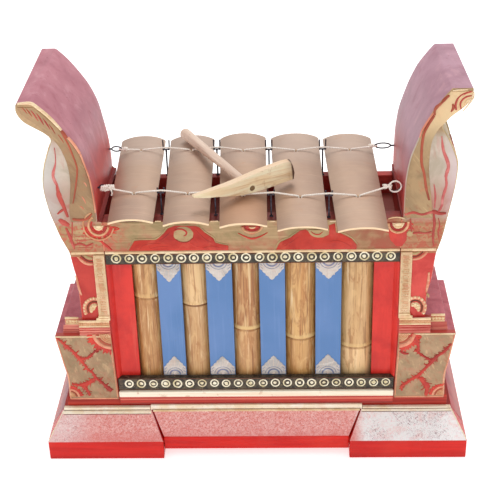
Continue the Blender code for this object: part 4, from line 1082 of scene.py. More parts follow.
def board(side):
    """End board as stacked sections: front, outer side, rear and inner face, with rounded corners."""
    name = f"end_board_{'left' if side < 0 else 'right'}"
    top = HORN_OUT[side][0][1]
    low = BLOCK_TOP + GAP
    zs = [low, low + 0.0010]
    z = low + 0.004
    while z < top - 0.003:
        zs.append(z)
        z += 0.0035
    zs = sorted(set(zs + [0.4034, 0.4040, 0.4046, 0.4056, top - 0.0015, top]))
    bm = bmesh.new()
    loops = []
    r = 0.0012
    for z in zs:
        yf, yr = BOARD_FRONT[side](z), BOARD_REAR[side](z)
        xo, xi, lean = OUT_X[side](z), in_x(side, z), BOARD_LEAN[side](z)
        cut = r if z < top - 0.001 else r * 1.0
        wide = abs(xo - xi)
        shrink = 0.0 if z < top - 0.0005 else 0.0008
        def at(a, b):  # a: share from inner to outer in metres from the inner edge, b: metres from the front
            share = (b) / (yr - yf)
            return (xi + side * a + lean * share, yf + b, z)
        deep = yr - yf
        corner = [(0, 1.0), (0.29, 0.29), (1.0, 0)]
        ring = []
        # front face from the inner edge outwards
        ring += [at(cut * p + shrink, cut * q + shrink) for p, q in corner]
        ring += [at(wide * k / 10, shrink) for k in range(1, 10)]
        ring += [at(wide - cut * q - shrink, cut * p + shrink) for p, q in corner]
        ring += [at(wide - shrink, deep * k / 14) for k in range(1, 14)]
        ring += [at(wide - cut * p - shrink, deep - cut * q - shrink) for p, q in corner]
        ring += [at(wide * (10 - k) / 10, deep - shrink) for k in range(1, 10)]
        ring += [at(cut * q + shrink, deep - cut * p - shrink) for p, q in corner]
        ring += [at(shrink, deep * (14 - k) / 14) for k in range(1, 14)]
        loops.append([bm.verts.new(p) for p in ring])
    n = len(loops[0])
    part = [0] * 12 + [1] * 15 + [2] * 12 + [3] * 16
    for a, b in zip(loops, loops[1:]):
        for i in range(n):
            j = (i + 1) % n
            f = bm.faces.new((a[i], a[j], b[j], b[i]))
            f.material_index = part[i] if i < len(part) else 3
    bm.faces.new(loops[0]).material_index = 3
    bm.faces.new(list(reversed(loops[-1]))).material_index = 3
    obj = keep(f"{name}_carved", bm, None, "case", 40)
    for m in (mat_board_front, mat_side, mat_rear_board, mat_horn_in[side]):
        obj.data.materials.append(m)
    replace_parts(obj, name)
    return obj


def side_paint():
    """Outer side of the end boards: gold lobe and horn over a red waist."""
    m = Mat("end_board_side", rough=0.46, metal=0.1)
    a = m.noise(22, 5, 0.6, 0.8)
    cuts = m.noise(1, 3, 0.6, 0.4, at=m.stretch((40, 90, 40)))
    c = m.mix(m.step(a, 0.36, 0.62), lin(172, 146, 98), lin(202, 174, 126))
    c = m.mix(m.calc("MULTIPLY", m.step(cuts, 0.55, 0.72), 0.45), c, lin(156, 98, 66))
    c = m.mix(m.calc("MULTIPLY", m.step(cuts, 0.42, 0.28), 0.45), c, lin(230, 202, 152))
    red = m.mix(m.step(a, 0.3, 0.7), lin(186, 38, 32), lin(218, 60, 48))
    c = m.mix(m.step(m.z, 0.3462, 0.3470), red, c)
    return m.done(c, m.step(m.z, 0.346, 0.347, 0.28, 0.5), m.bump(m.calc("ADD", cuts, a), 0.0006, 0.6))


mat_side = side_paint()
mat_rear_board = enamel("end_board_rear", lin(160, 34, 30), lin(204, 54, 46), lin(224, 96, 80), (50, 60, 9), rough=0.28)
boards = {s: board(s) for s in (-1, 1)}


# ---------------------------------------------------------------- plates
def key_x(key, y):
    cx, y0, y1, *_ = KEYS[key]
    return cx - math.tan(KEY_YAW) * (y - (y0 + y1) / 2)


def key_half(key, y):
    _, y0, y1, width, _, _ = KEYS[key]
    return width / 2 * (1 + (KEY_FLARE - 1) * (y - (y0 + y1) / 2) / ((y1 - y0) / 2))


def plate(key):
    cx, y0, y1, width, hole_f, hole_r = KEYS[key]
    mid = (y0 + y1) / 2
    spin = Matrix.Rotation(KEY_YAW, 3, "Z")
    across = [math.sin(math.pi / 2 * (-1 + 2 * i / 28)) for i in range(29)]
    across = [0.55 * a + 0.45 * (-1 + 2 * i / 28) for i, a in enumerate(across)]
    seed = random.Random(int(key[-1]))
    waves = [(seed.uniform(0, 6.28), seed.uniform(14, 34), seed.uniform(10, 30)) for _ in range(4)]
    rings = []
    for k in range(61):
        end = -1 + 2 * k / 60
        ring = []
        for top in (True, False):
            for u in across if top else list(reversed(across)):
                length = (y1 - y0) / 2 - 0.0001 - KEY_END_BOW * abs(u) ** 2.2 - (0.0012 * max(0, abs(u) - 0.9) / 0.1)
                y = mid + end * length
                share = (y - mid) / ((y1 - y0) / 2)
                half = width / 2 * (1 + (KEY_FLARE - 1) * share)
                wave = sum(math.sin(p + y * f + u * g * 0.1) for p, f, g in waves) * 0.00006 if top else 0
                z = KEY_TOP_Z - KEY_CROWN * abs(u) ** 2.3 - (0 if top else KEY_T) + wave
                p = spin @ Vector((u * half, y - mid, 0))
                ring.append((cx + p.x, mid + p.y, z))
        rings.append(ring)
    bm = bmesh.new()
    loops = [[bm.verts.new(p) for p in ring] for ring in rings]
    n, w = len(loops[0]), len(across)
    for a, b in zip(loops, loops[1:]):
        for i in range(n):
            j = (i + 1) % n
            bm.faces.new((a[i], a[j], b[j], b[i]))
    for loop in (loops[0], loops[-1]):
        for i in range(w - 1):
            bm.faces.new((loop[i], loop[i + 1], loop[n - 2 - i], loop[n - 1 - i]))
    obj = loose(f"{key}_plate", bm)
    cuts = []
    for y in (hole_f, hole_r):
        c = bmesh.new()
        lathe_into(c, (key_x(key, y), y, 0), (0, 0, 1), [(KEY_TOP_Z - 0.02, 0), (KEY_TOP_Z - 0.02, HOLE_R), (KEY_TOP_Z + 0.01, HOLE_R), (KEY_TOP_Z + 0.01, 0)], 28)
        cuts.append(loose("cutter", c))
    combine(obj, cuts, "DIFFERENCE")
    obj.data.materials.clear()
    obj.data.materials.append(bronze(int(key[-1])))
    obj.data.shade_smooth()
    obj.data.set_sharp_from_angle(angle=math.radians(40))
    bevel(obj, 0.0005, 2, 45)
    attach(obj, key)
    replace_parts(obj, key)
    for y, end in ((hole_f, "front"), (hole_r, "rear")):
        pin = bmesh.new()
        seg = random.Random(f"{key}{end}")
        bulge = [seg.uniform(-0.05, 0.05) for _ in range(9)]
        profile = [(0, 0), (0, TOGGLE_R * 0.72), (0.0006, TOGGLE_R * 0.95)]
        profile += [(TOGGLE_L * (k + 1) / 10, TOGGLE_R * (1 + bulge[k] * 0.6)) for k in range(9)]
        profile += [(TOGGLE_L - 0.0006, TOGGLE_R * 0.95), (TOGGLE_L, TOGGLE_R * 0.72), (TOGGLE_L, 0)]
        lathe_into(pin, (key_x(key, y), y - TOGGLE_L / 2, TOGGLE_Z), (0, 1, 0), profile, 14)
        node = f"toggle_{key[-1]}_{end}"
        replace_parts(keep(f"{node}_pin", pin, mat_pin, key), node)


for key in KEYS:
    plate(key)

# ---------------------------------------------------------------- bamboo tubes
BAMBOO = (  # three tones, blotching, the tone below the node and its share, how dark the node line and how light the node is
    (lin(226, 184, 126), lin(204, 154, 98), lin(158, 104, 58), 0.60, lin(168, 108, 58), 0.55, 0.35, 0.35),
    (lin(236, 200, 148), lin(222, 180, 124), lin(184, 122, 74), 0.50, lin(176, 126, 78), 0.50, 0.95, 0.30),
    (lin(202, 152, 100), lin(180, 124, 76), lin(148, 88, 46), 0.75, lin(220, 172, 118), 0.50, 0.30, 0.85),
    (lin(226, 182, 118), lin(202, 146, 86), lin(160, 98, 48), 0.75, lin(184, 130, 78), 0.35, 0.45, 0.60),
    (lin(222, 184, 132), lin(206, 164, 110), lin(158, 112, 66), 0.60, lin(252, 214, 160), 0.75, 0.30, 0.55),
)
for i, ((cx, half, node), tones) in enumerate(zip(RESONATORS, BAMBOO), 1):
    r = half * TUBE_OVER_SLOT
    cy = TUBE_FRONT_Y + r
    low, w = FLOOR_Z + GAP, r - TUBE_WALL
    seed = random.Random(70 + i)
    ph = [seed.uniform(0, 6.28) for _ in range(4)]

    def wobble(a, d, ph=ph):
        return 0.006 * math.sin(2 * a + ph[0]) + 0.004 * math.sin(3 * a + ph[1] + d * 20) + 0.002 * math.sin(7 * a + ph[2])

    profile = [(node + 0.003, 0), (node + 0.003, w), (TUBE_TOP_Z - 0.0008, w), (TUBE_TOP_Z, w + 0.0008), (TUBE_TOP_Z, r - 0.0008), (TUBE_TOP_Z - 0.0008, r)]
    profile += [(node + 0.012 + (TUBE_TOP_Z - node - 0.014) * (9 - k) / 9, r) for k in range(1, 10)]
    profile += [
        (node + 0.0085, r + 0.0001), (node + 0.0055, r + 0.0007), (node + 0.0028, r + 0.0014), (node + 0.0010, r + 0.0014), (node - 0.0002, r + 0.0006),
        (node - 0.0014, r - 0.0008), (node - 0.0024, r - 0.0006), (node - 0.0040, r + 0.0005), (node - 0.0070, r + 0.0002), (node - 0.0110, r),
    ]
    profile += [(node - 0.012 + (low - node + 0.012) * k / 8, r) for k in range(1, 9)]
    profile += [(low, w), (node - 0.003, w), (node - 0.003, 0)]
    bm = bmesh.new()
    lathe_into(bm, (cx, cy, 0), (0, 0, 1), profile, 56, wobble)
    tube = keep(f"bamboo_tube_{i}", bm, bamboo(i, cx, cy, node, *tones))
    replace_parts(tube, f"resonator_{i}")

# ---------------------------------------------------------------- cords
def cord_loop(x, y):
    pts = []
    bend_r = 0.0020
    for s in (0, 0.5, 1):
        a = math.pi / 2 * s
        pts.append((-(LOOP_X + bend_r) + bend_r * math.sin(a), CORD_KEY_Z - bend_r + bend_r * math.cos(a)))
    pts.append((-LOOP_X - 0.0001, 0.4356))
    ring = CORD_R + TOGGLE_R + GAP / 2
    begin = math.degrees(math.acos(min(1, (LOOP_X + 0.00035) / ring)))
    for k in range(7):
        a = math.radians(180 - begin + (180 + 2 * begin) * k / 6)
        pts.append((ring * math.cos(a), TOGGLE_Z + ring * math.sin(a)))
    pts += [(-px, pz) for px, pz in reversed(pts[:4])]
    return [(x + px, y, pz) for px, pz in pts]


def cord_turn(hook, back):
    x, y, _, _, side = HOOKS[hook]
    r = CORD_R + 0.0011 + 0.00025
    pts = [(x - side * 0.0040, y, CORD_END_Z)]
    for k in range(7):
        a = -math.pi / 2 + math.pi * k / 6
        pts.append((x + side * r * math.cos(a), y + r + r * math.sin(a), CORD_END_Z))
    pts.append((x - side * 0.0050, y + 2 * r, CORD_END_Z))
    pts.append((x - side * 0.0100, y + 2 * r + 0.0006, CORD_END_Z))
    return list(reversed(pts)) if back else pts


def post_spots(ys):
    spots = []
    for i, y in enumerate(ys, 1):
        a, b = f"key_{i}", f"key_{i + 1}"
        spots.append(((key_x(a, y) + key_half(a, y) + key_x(b, y) - key_half(b, y)) / 2, y))
    return spots


POSTS = {"front": post_spots(POSTS_FRONT_Y), "rear": post_spots(POSTS_REAR_Y)}


def rope(name, path, start=0.0, r=CORD_R, body="case", gap=0.0007):
    bm = bmesh.new()
    sweep_into(bm, even(path, gap), rope_section(r, start=start))
    return keep(name, bm, mat_cord, body, 80)


for row, column in (("front", 4), ("rear", 5)):
    posts = POSTS[row]
    ends = {"left": cord_turn(f"hook_{row}_left", True), "right": cord_turn(f"hook_{row}_right", False)}
    run = 0.0
    before = ends["left"]
    first = None
    for i, key in enumerate(KEYS):
        y = KEYS[key][column]
        loop = cord_loop(key_x(key, y), y)
        # from the last post or hook to the plate
        left = spline(before + [loop[0]], 4) if i else before + spline([before[-1], loop[0]], 6)[1:]
        obj = rope(f"cord_{row}_{key}_left", left, run, body=None)
        a = Vector(before[-1])
        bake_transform(obj)
        first = first or obj
        run += sum((Vector(q) - Vector(p)).length for p, q in zip(left, left[1:]))
        mid = spline(loop, 3)
        rope(f"cord_{row}_{key}_loop", mid, run, body=key)
        run += sum((Vector(q) - Vector(p)).length for p, q in zip(mid, mid[1:]))
        # from the plate to the next post or hook
        if i < 4:
            px, py = posts[i]
            over = [(px - 0.0065, py, CORD_POST_Z - 0.0004), (px, py, CORD_POST_Z)]
            before = [(px, py, CORD_POST_Z), (px + 0.0065, py, CORD_POST_Z - 0.0004)]
            right = spline([loop[-1]] + over, 6)
            far = over[0]
        else:
            right = spline([loop[-1], ends["right"][0]], 8)[:-1] + ends["right"]
            far = ends["right"][0]
        obj = rope(f"cord_{row}_{key}_right", right, run, body=None)
        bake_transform(obj)
        run += sum((Vector(q) - Vector(p)).length for p, q in zip(right, right[1:]))
    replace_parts(first, f"cord_{row}")


def wraps(bm, centre, axis, r, turns, length, cord_r=CORD_R, start=0.0, wild=0.0, seed=1):
    """Cord wound round an axis."""
    rnd = random.Random(seed)
    centre, axis = Vector(centre), Vector(axis).normalized()
    u, v = frame_of(axis)
    pts, n = [], int(turns * 14)
    for i in range(n + 1):
        t = i / n
        a = start + 2 * math.pi * turns * t
        k = r * (1 + wild * (rnd.random() - 0.5))
        pts.append(centre + axis * (length * (t - 0.5) + wild * 0.001 * (rnd.random() - 0.5)) + (u * math.cos(a) + v * math.sin(a)) * k)
    sweep_into(bm, even([tuple(p) for p in spline([tuple(p) for p in pts], 3)], 0.0009), rope_section(cord_r))


# knots and lashings at the cord ends
bm = bmesh.new()
hx, hy, *_ = HOOKS["hook_front_left"]
wraps(bm, (hx + 0.0095, hy + 0.0022, CORD_END_Z), (1, 0, 0), 0.0030, 3.2, 0.0085, 0.0014, wild=0.18, seed=3)
wraps(bm, (hx + 0.0020, hy + 0.0020, CORD_END_Z - 0.0004), (1, 0.15, 0.2), 0.0036, 2.6, 0.0075, 0.0015, wild=0.22, seed=5)
wraps(bm, (hx - 0.0035, hy + 0.0018, CORD_END_Z - 0.0006), (1, -0.2, 0.1), 0.0032, 2.3, 0.0055, 0.0014, wild=0.2, seed=8)
sweep_into(bm, even(spline([(hx + 0.004, hy - 0.002, CORD_END_Z + 0.003), (hx + 0.009, hy - 0.006, CORD_END_Z + 0.001), (hx + 0.011, hy - 0.007, CORD_END_Z - 0.004), (hx + 0.010, hy - 0.006, CORD_END_Z - 0.009)], 6), 0.0009), rope_section(0.0010))
keep("knot_front_left", bm, mat_cord, "case", 80)
bm = bmesh.new()
hx, hy, length, height, side = HOOKS["hook_front_right"]
wraps(bm, (hx - 0.0065, hy + 0.0014, CORD_END_Z), (1, 0, 0), 0.0026, 2.4, 0.0050, 0.0011, wild=0.1, seed=4)
wraps(bm, (hx + 0.0006, hy + 0.0014, CORD_END_Z), (0.2, 0, 1), 0.0022, 2.6, 0.0056, 0.0010, wild=0.2, seed=9)
ring_y = hy + CORD_R + 0.0011 + 0.00025
turns = [(hx + side * (length / 2 - (length / 2 + 0.0005) * math.cos(2 * math.pi * k / 48)), ring_y - 0.0019 + 0.0004 * math.sin(9 * k), CORD_END_Z + (height / 2 + 0.0005) * math.sin(2 * math.pi * k / 48)) for k in range(48)]
sweep_into(bm, turns, rope_section(0.0011), closed=True)
keep("cord_round_ring", bm, mat_cord, "case", 80)
bm = bmesh.new()
for row_end in ("hook_rear_left", "hook_rear_right"):
    hx, hy, length, height, side = HOOKS[row_end]
    wraps(bm, (hx - side * 0.0065, hy + 0.0014, CORD_END_Z), (1, 0, 0), 0.0026, 2.6, 0.0052, 0.0011, wild=0.1, seed=6)
keep("knots_rear", bm, mat_cord, "case", 80)

# ---------------------------------------------------------------- wire posts and end rings
bar_z = CORD_POST_Z - CORD_R - POST_R - 0.0006
for row, foot_z, prong_z in (("front", RAIL_TOP, 0.4462), ("rear", 0.395, 0.4545)):
    for i, (px, py) in enumerate(POSTS[row], 1):
        back = CORD_R + POST_R + 0.0005
        bm = bmesh.new()
        path = [
            (px - POST_HALF - 0.0004, py + back, prong_z), (px - POST_HALF - 0.0002, py + back, bar_z + 0.0024),
            (px - POST_HALF, py + back * 0.8, bar_z + 0.0008), (px - POST_HALF + 0.0003, py, bar_z), (px, py, bar_z),
            (px + POST_HALF - 0.0003, py, bar_z), (px + POST_HALF, py + back * 0.8, bar_z + 0.0008),
            (px + POST_HALF + 0.0002, py + back, bar_z + 0.0024), (px + POST_HALF + 0.0004, py + back, prong_z),
        ]
        sweep_into(bm, spline(path, 4), round_section(POST_R, 10))
        for s in (-1, 1):  # eye where the wire turns up
            lathe_into(bm, (px + s * (POST_HALF - 0.0004), py - 0.0012, bar_z), (0, 1, 0), [(0, 0), (0, 0.0012), (0.0004, 0.0017), (0.0030, 0.0017), (0.0034, 0.0012), (0.0034, 0)], 12)
        lathe_into(
            bm, (px, py, 0), (0, 0, 1),
            [(foot_z + GAP, 0), (foot_z + GAP, 0.0030), (foot_z + 0.0012, 0.0028), (foot_z + 0.0020, 0.0013), (bar_z - 0.0030, 0.0013), (bar_z - 0.0012, 0.0019), (bar_z, 0.0019), (bar_z, 0)], 12,
        )
        obj = keep(f"wire_post_{row}_{i}", bm, mat_wire)
        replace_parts(obj, f"post_{row}_{i}")
for name, (x, y, length, height, side) in HOOKS.items():
    r = CORD_R + 0.0011 + 0.00025
    bm = bmesh.new()
    ring = [(x + side * (length / 2 - length / 2 * math.cos(2 * math.pi * k / 36)), y + r, CORD_END_Z + height / 2 * math.sin(2 * math.pi * k / 36)) for k in range(36)]
    sweep_into(bm, ring, round_section(0.0011, 10), closed=True)
    face = HOOK_FACE_X[0] if side < 0 else HOOK_FACE_X[1]
    root = x + side * (length - 0.0006)
    span = abs(face - root)
    lathe_into(bm, (root, y + r, CORD_END_Z), (side, 0, 0), [(0, 0), (0, 0.0014), (span, 0.0014), (span, 0)], 12)
    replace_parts(keep(f"end_ring_{name[5:]}", bm, mat_wire), name)

# ---------------------------------------------------------------- hammer
P = Vector((0.0029, -0.0800 + MIDDLE_Y, 0.4505))
ANGLE = math.radians(-60.6)
D = Vector((math.cos(ANGLE), math.sin(ANGLE), 0))
H = Vector((-D.y, D.x, 0))
HEAD_T, HANDLE_L, TENON_R = 0.0130, 0.2300, 0.0040
HEAD_LOW = [(-0.0936, 0.0093), (-0.0766, 0.0039), (-0.0557, 0.0000), (-0.0233, -0.0066), (0.0014, -0.0078), (0.0250, -0.0071), (0.0460, -0.0051), (0.0690, -0.0030)]
HEAD_TOP = [(0.0705, 0.0073), (0.0668, 0.0215), (0.0591, 0.0276), (0.0326, 0.0258), (0.0050, 0.0222), (-0.0158, 0.0180), (-0.0362, 0.0146), (-0.0575, 0.0132), (-0.0760, 0.0122), (-0.0925, 0.0113)]


def head_paint():
    """Pale carved wood, grain along the head, greyer on top as painted light, dark end grain darkened further as
    painted shade, light halo round the tenon.
    """
    m = Mat("pale_wood", rough=0.52, spec=0.35)
    fine = m.noise(1, 4, 0.65, 0.2, at=m.stretch((14, 330, 330), turn=(0, 0, HEAD_TURN)))
    wide = m.noise(1, 3, 0.55, 0.7, at=m.stretch((9, 80, 80), turn=(0, 0, HEAD_TURN)))
    along = m.calc("ADD", m.calc("MULTIPLY", m.calc("SUBTRACT", m.x, P.x), H.x), m.calc("MULTIPLY", m.calc("SUBTRACT", m.y, P.y), H.y))
    c = m.mix(m.step(wide, 0.34, 0.66), lin(248, 222, 180), lin(255, 244, 212))
    c = m.mix(m.calc("MULTIPLY", m.step(fine, 0.50, 0.66), 0.58), c, lin(212, 168, 116))
    c = m.mix(m.calc("MULTIPLY", m.step(m.noise(60, 4, 0.6, 1.0), 0.56, 0.70), 0.40), c, lin(196, 150, 98))
    c = m.mix(m.step(along, -0.060, -0.088, 0.0, 0.5), c, lin(250, 240, 200))
    # painted light: the faces that look up are greyer
    c = m.mix(m.calc("MULTIPLY", m.step(m.nz, 0.45, 0.8), 0.72), c, lin(234, 202, 172))
    rim = m.calc("MULTIPLY", m.step(along, 0.050, 0.068), m.step(wide, 0.30, 0.60, 0.5, 1.0))
    c = m.mix(m.calc("MULTIPLY", rim, 0.45), c, lin(170, 124, 92))
    # painted shade: the end of the head, its end face and its last few millimetres, dark brown
    face = m.calc("ADD", m.calc("MULTIPLY", m.nx, H.x), m.calc("MULTIPLY", m.ny, H.y))
    c = m.mix(m.calc("MULTIPLY", m.step(along, 0.060, 0.066), m.step(face, 0.20, 0.50)), c, lin(84, 60, 50))
    c = m.mix(m.step(m.calc("ADD", along, m.calc("MULTIPLY", m.calc("SUBTRACT", m.z, P.z), 0.10)), 0.0660, 0.0682), c, lin(92, 66, 52))
    dz = m.calc("SUBTRACT", m.z, P.z)
    away = m.calc("SQRT", m.calc("ADD", m.calc("MULTIPLY", along, along), m.calc("MULTIPLY", dz, dz)))
    halo = m.calc("MULTIPLY", m.step(away, 0.0042, 0.0050), m.step(away, 0.0088, 0.0058))
    c = m.mix(m.calc("MULTIPLY", halo, 0.5), c, lin(255, 246, 206))
    return m.done(c, m.step(fine, 0.3, 0.7, 0.44, 0.62), m.bump(m.calc("ADD", fine, wide), 0.0004, 0.6))


mat_head = head_paint()


def head_ring(depth, shift, squeeze):
    ring = []
    for s, v in spline(HEAD_LOW, 3) + spline(HEAD_TOP, 3):
        thin = 0.55 + 0.45 * min(1.0, (s + 0.0940) / 0.060)
        ring.append(P + H * (s + shift * max(0, s - 0.04) / 0.03) + Vector((0, 0, 0.009 + (v - 0.009) * squeeze)) - D * depth * thin)
    return ring


bm = bmesh.new()
loft_into(bm, [head_ring(0, 0, 0.965), head_ring(0.0003, 0.0001, 0.985), head_ring(0.0008, 0.0003, 1.0), head_ring(0.0040, 0.0016, 0.995), head_ring(0.0075, 0.0030, 0.985), head_ring(HEAD_T - 0.0025, 0.0042, 0.97), head_ring(HEAD_T - 0.0010, 0.0046, 0.93), head_ring(HEAD_T, 0.0048, 0.86)])
head = loose("hammer_head", bm)
bm = bmesh.new()
lathe_into(bm, P + D * 0.01, -D, [(0, 0), (0, TENON_R + GAP), (HEAD_T + 0.02, TENON_R + GAP), (HEAD_T + 0.02, 0)], 24)
combine(head, [loose("cutter", bm)], "DIFFERENCE")
head.data.materials.clear()
head.data.materials.append(mat_head)
head.data.shade_smooth()
head.data.set_sharp_from_angle(angle=math.radians(30))
bevel(head, 0.0004, 2, 50)
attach(head, "mallet")
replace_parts(head, "mallet_head")
bm = bmesh.new()
lathe_into(
    bm, P + D * 0.0008, -D,
    [
        (0, 0), (0, TENON_R - 0.0006), (0.0005, TENON_R - 0.0002), (0.0009, TENON_R), (HEAD_T + 0.0014, TENON_R), (HEAD_T + 0.0018, 0.0052), (HEAD_T + 0.0030, 0.0056),
        (0.040, 0.0059), (0.060, 0.0062), (0.080, 0.0066), (0.110, 0.0070), (0.140, 0.0074), (0.160, 0.0076), (0.190, 0.0081), (0.215, 0.0086), (HANDLE_L - 0.004, 0.0088),
        (HANDLE_L - 0.0022, 0.0084), (HANDLE_L - 0.001, 0.0074), (HANDLE_L - 0.0002, 0.0058), (HANDLE_L, 0.0040), (HANDLE_L, 0),
    ],
    32, lambda a, d: 0.012 * math.sin(3 * a + 40 * d) + 0.008 * math.sin(5 * a + 1.0 + 25 * d),
)
handle = keep("hammer_handle", bm, mat_handle, "mallet")
handle.data.materials.append(mat_tenon)
for f in handle.data.polygons:
    if (f.center - P).dot(D) > -0.0006:
        f.material_index = 1
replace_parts(handle, "mallet_handle")

# ---------------------------------------------------------------- ring strips
for name, zs, ends, size in (
    ("ring_strip_upper", 0.3425, (-0.2024, 0.2046), 0.0064),
    ("ring_strip_lower", 0.1141, (-0.1998, 0.2044), 0.0062),
):
    layer = Relief(f"{name}_rings", front_of(CASE_FRONT), mat_ring, "ring_paint")
    for i in range(22):
        x = ends[0] + (ends[1] - ends[0]) * i / 21 + rng.uniform(-0.0006, 0.0006)
        z = zs + rng.uniform(-0.0004, 0.0004)
        layer.arc(x, z, size * rng.uniform(0.95, 1.04), rng.uniform(0.0019, 0.0026), 0.0006, squash=rng.uniform(1.0, 1.10), n=22, wild=0.05)
        layer.dome(x + rng.uniform(-0.0004, 0.0004), z, rng.uniform(0.0026, 0.0033), 0.0007, squash=rng.uniform(0.85, 1.15), n=9, wild=0.45)
    layer.done()
    edge = Relief(f"{name}_edges", front_of(CASE_FRONT), mat_brown_line, "gold_paint")
    lo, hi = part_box(name)
    for z in (lo.z + 0.0009, hi.z - 0.0009):
        edge.ridge([(lo.x + 0.001 + (hi.x - lo.x - 0.002) * k / 12, z) for k in range(13)], 0.0009, 0.0003, steps=1)
    edge.done()

# ---------------------------------------------------------------- floral triangles on the blue boards
edges = []
for cx, half, _ in RESONATORS:
    edges += [cx - half, cx + half]
gold_leafs = Relief("blue_board_leaves", front_of(INFILL_FRONT), mat_silver_gold, "gold_paint")
veins = Relief("blue_board_veins", front_of(INFILL_FRONT - 0.0009), mat_pearl, "cream_gold", sink=0.0009)
cores = Relief("blue_board_cores", front_of(INFILL_FRONT - 0.0008), mat_lilac, "blue_paint", sink=0.0008)
for i in range(4):
    a, b = edges[2 * i + 1], edges[2 * i + 2]
    mid, half = (a + b) / 2, (b - a) / 2 - 0.0008
    for base, way, tall in ((0.3312, -1, (0.0362, 0.0350, 0.0340, 0.0330)[i]), (0.1246, 1, (0.0350, 0.0340, 0.0345, 0.0365)[i])):
        side = []
        for k in range(1, 12):
            t = k / 12
            w = half * min(1.0, (1 - t) / 0.62) ** 0.92
            side.append((w + (0.0006 if k % 2 else -0.0007) * (0.5 if t < 0.35 else 1.0), base + way * tall * t))
        pts = [(mid - half, base)] + [(mid - max(0.0006, w), z) for w, z in side] + [(mid, base + way * tall)]
        pts += [(mid + max(0.0006, w), z) for w, z in reversed(side)] + [(mid + half, base)]
        gold_leafs.field(pts, 0.0009)
        lo_a, hi_a = (0, 180) if way > 0 else (180, 360)
        cores.arc(mid, base + way * 0.0010, half * 0.46, 0.0026, 0.0007, lo_a, hi_a, n=12)
        cores.arc(mid, base + way * 0.0010, half * 0.70, 0.0010, 0.0004, lo_a + 8, hi_a - 8, n=12)
        veins.dome(mid, base + way * 0.0026, 0.0026, 0.0014, n=10, wild=0.2)
        for k in range(9):
            ang = math.radians(14 + 152 * k / 8)
            r0, r1 = half * 0.80, half * (0.92 + 0.62 * max(0.0, math.sin(ang)) ** 3)
            if abs(r1 * math.cos(ang)) > half - 0.0008:
                continue
            veins.ridge([(mid + r0 * math.cos(ang), base + way * r0 * math.sin(ang)), (mid + r1 * math.cos(ang), base + way * r1 * math.sin(ang))], 0.0010, 0.0004, steps=1)
        for k in (-1, 1):
            for t in (0.16, 0.30):
                cores.ridge([(mid + k * half * 0.93, base + way * tall * t), (mid + k * half * 0.72, base + way * tall * (t + 0.10))], 0.0008, 0.0004, steps=1)
gold_leafs.done()
veins.done()
cores.done()

# ---------------------------------------------------------------- gold band under the plates
RAIL = front_of(CASE_FRONT)
flames = Relief("band_hills", RAIL, mat_flame, "red_enamel")
left_hill = [(128.7, 250.6), (134.4, 241), (141, 240.2), (155.9, 239.9), (163.7, 233.4), (168, 228.4), (175, 225.6), (195.4, 226), (198.9, 227), (204.5, 232.4), (212.9, 238), (215.7, 242.9), (228.3, 245.7), (228.3, 250)]
right_hill = [(276, 249.5), (280.3, 242.2), (290.2, 237.6), (300.4, 230.4), (305.5, 229.4), (308.6, 231.4), (313.7, 235.5), (322.9, 237.6), (329, 234.5), (329, 225.3), (335, 223.3), (336, 232.4), (341.2, 233.5), (351.4, 238.6), (356.5, 244.7), (356.5, 249.2)]
flames.field(seen(left_hill, CASE_FRONT), 0.0007)
flames.field(seen(right_hill, CASE_FRONT), 0.0007)
flames.field(seen([(388, 231), (407, 230), (406.5, 240), (402, 246), (396, 246), (390.5, 240)], CASE_FRONT), 0.0007)
for a, b, w in (
    ([(238, 233), (245, 236.5), (252, 238.6), (260, 236.6), (267.6, 232.5)], 0, 2.2), ([(244, 230.5), (252, 233.6), (261, 230)], 0, 1.4),
    ([(98.7, 238), (103, 243), (108, 247), (112, 250)], 0, 3.0), ([(104, 234), (110, 231.5), (119.4, 229)], 0, 2.2), ([(107, 229.5), (113, 227), (119.4, 228.6)], 0, 1.6),
    ([(88, 231), (92, 237), (98, 240), (104, 243)], 0, 2.0),     ([(186, 238), (190, 243), (196, 246.5), (203, 248)], 0, 1.6),
):
    flames.ridge(seen(a, CASE_FRONT), w * PIXEL, 0.0009, taper=0.3)
for (cu, cv), sx, reach in ((seen([(98.7, 226.8)], CASE_FRONT)[0], -1, 0.0270), (seen([(398.2, 222.6)], CASE_FRONT)[0], 1, 0.0250), (seen([(252.2, 225.6)], CASE_FRONT)[0], 0, 0.0215)):
    tips = []
    for k in range(19):
        a = math.radians(178 + 184 * k / 18)
        long = reach * (1.0 if k % 2 else 0.74) * rng.uniform(0.92, 1.08) * (0.80 if sx == 0 else 1.0)
        tips.append((cu + long * math.cos(a), cv + long * math.sin(a) * (0.62 if sx == 0 else 0.86)))
    tips.append((cu, cv))
    flames.field(tips, 0.0005)
flames.done()
deep = Relief("band_cuts", RAIL, mat_vein, "dark_red_enamel", sink=0.0003)
for a, w in (
    ([(140, 249), (143, 245.4), (150, 243.8), (160, 243.4)], 1.2), ([(159, 241), (166, 236), (170, 231.6)], 1.2), ([(196, 230), (200.6, 235), (206, 239.6), (211, 242)], 1.2),
    ([(150, 248.6), (158, 246.8), (168, 246.4)], 1.1), ([(204, 247.6), (211, 246.4), (220, 247.6)], 1.1), ([(284, 246), (291, 242), (298, 237)], 1.0),
    ([(330, 241), (338, 240.4), (346, 243.4), (351, 246.4)], 0.9),
):
    deep.ridge(seen(a, CASE_FRONT), w * PIXEL, 0.0011, taper=0.3)
deep.done()
curls = Relief("band_curls", RAIL, mat_gold_rail, "gold_paint")
curl_red = Relief("band_curl_lines", front_of(CASE_FRONT - 0.0014), mat_vein, "dark_red_enamel", sink=0.0006)
c = seen([(183.4, 234.2)], CASE_FRONT)[0]
curls.dome(c[0], c[1], 0.0155, 0.0016, squash=0.90, n=26, wild=0.06)
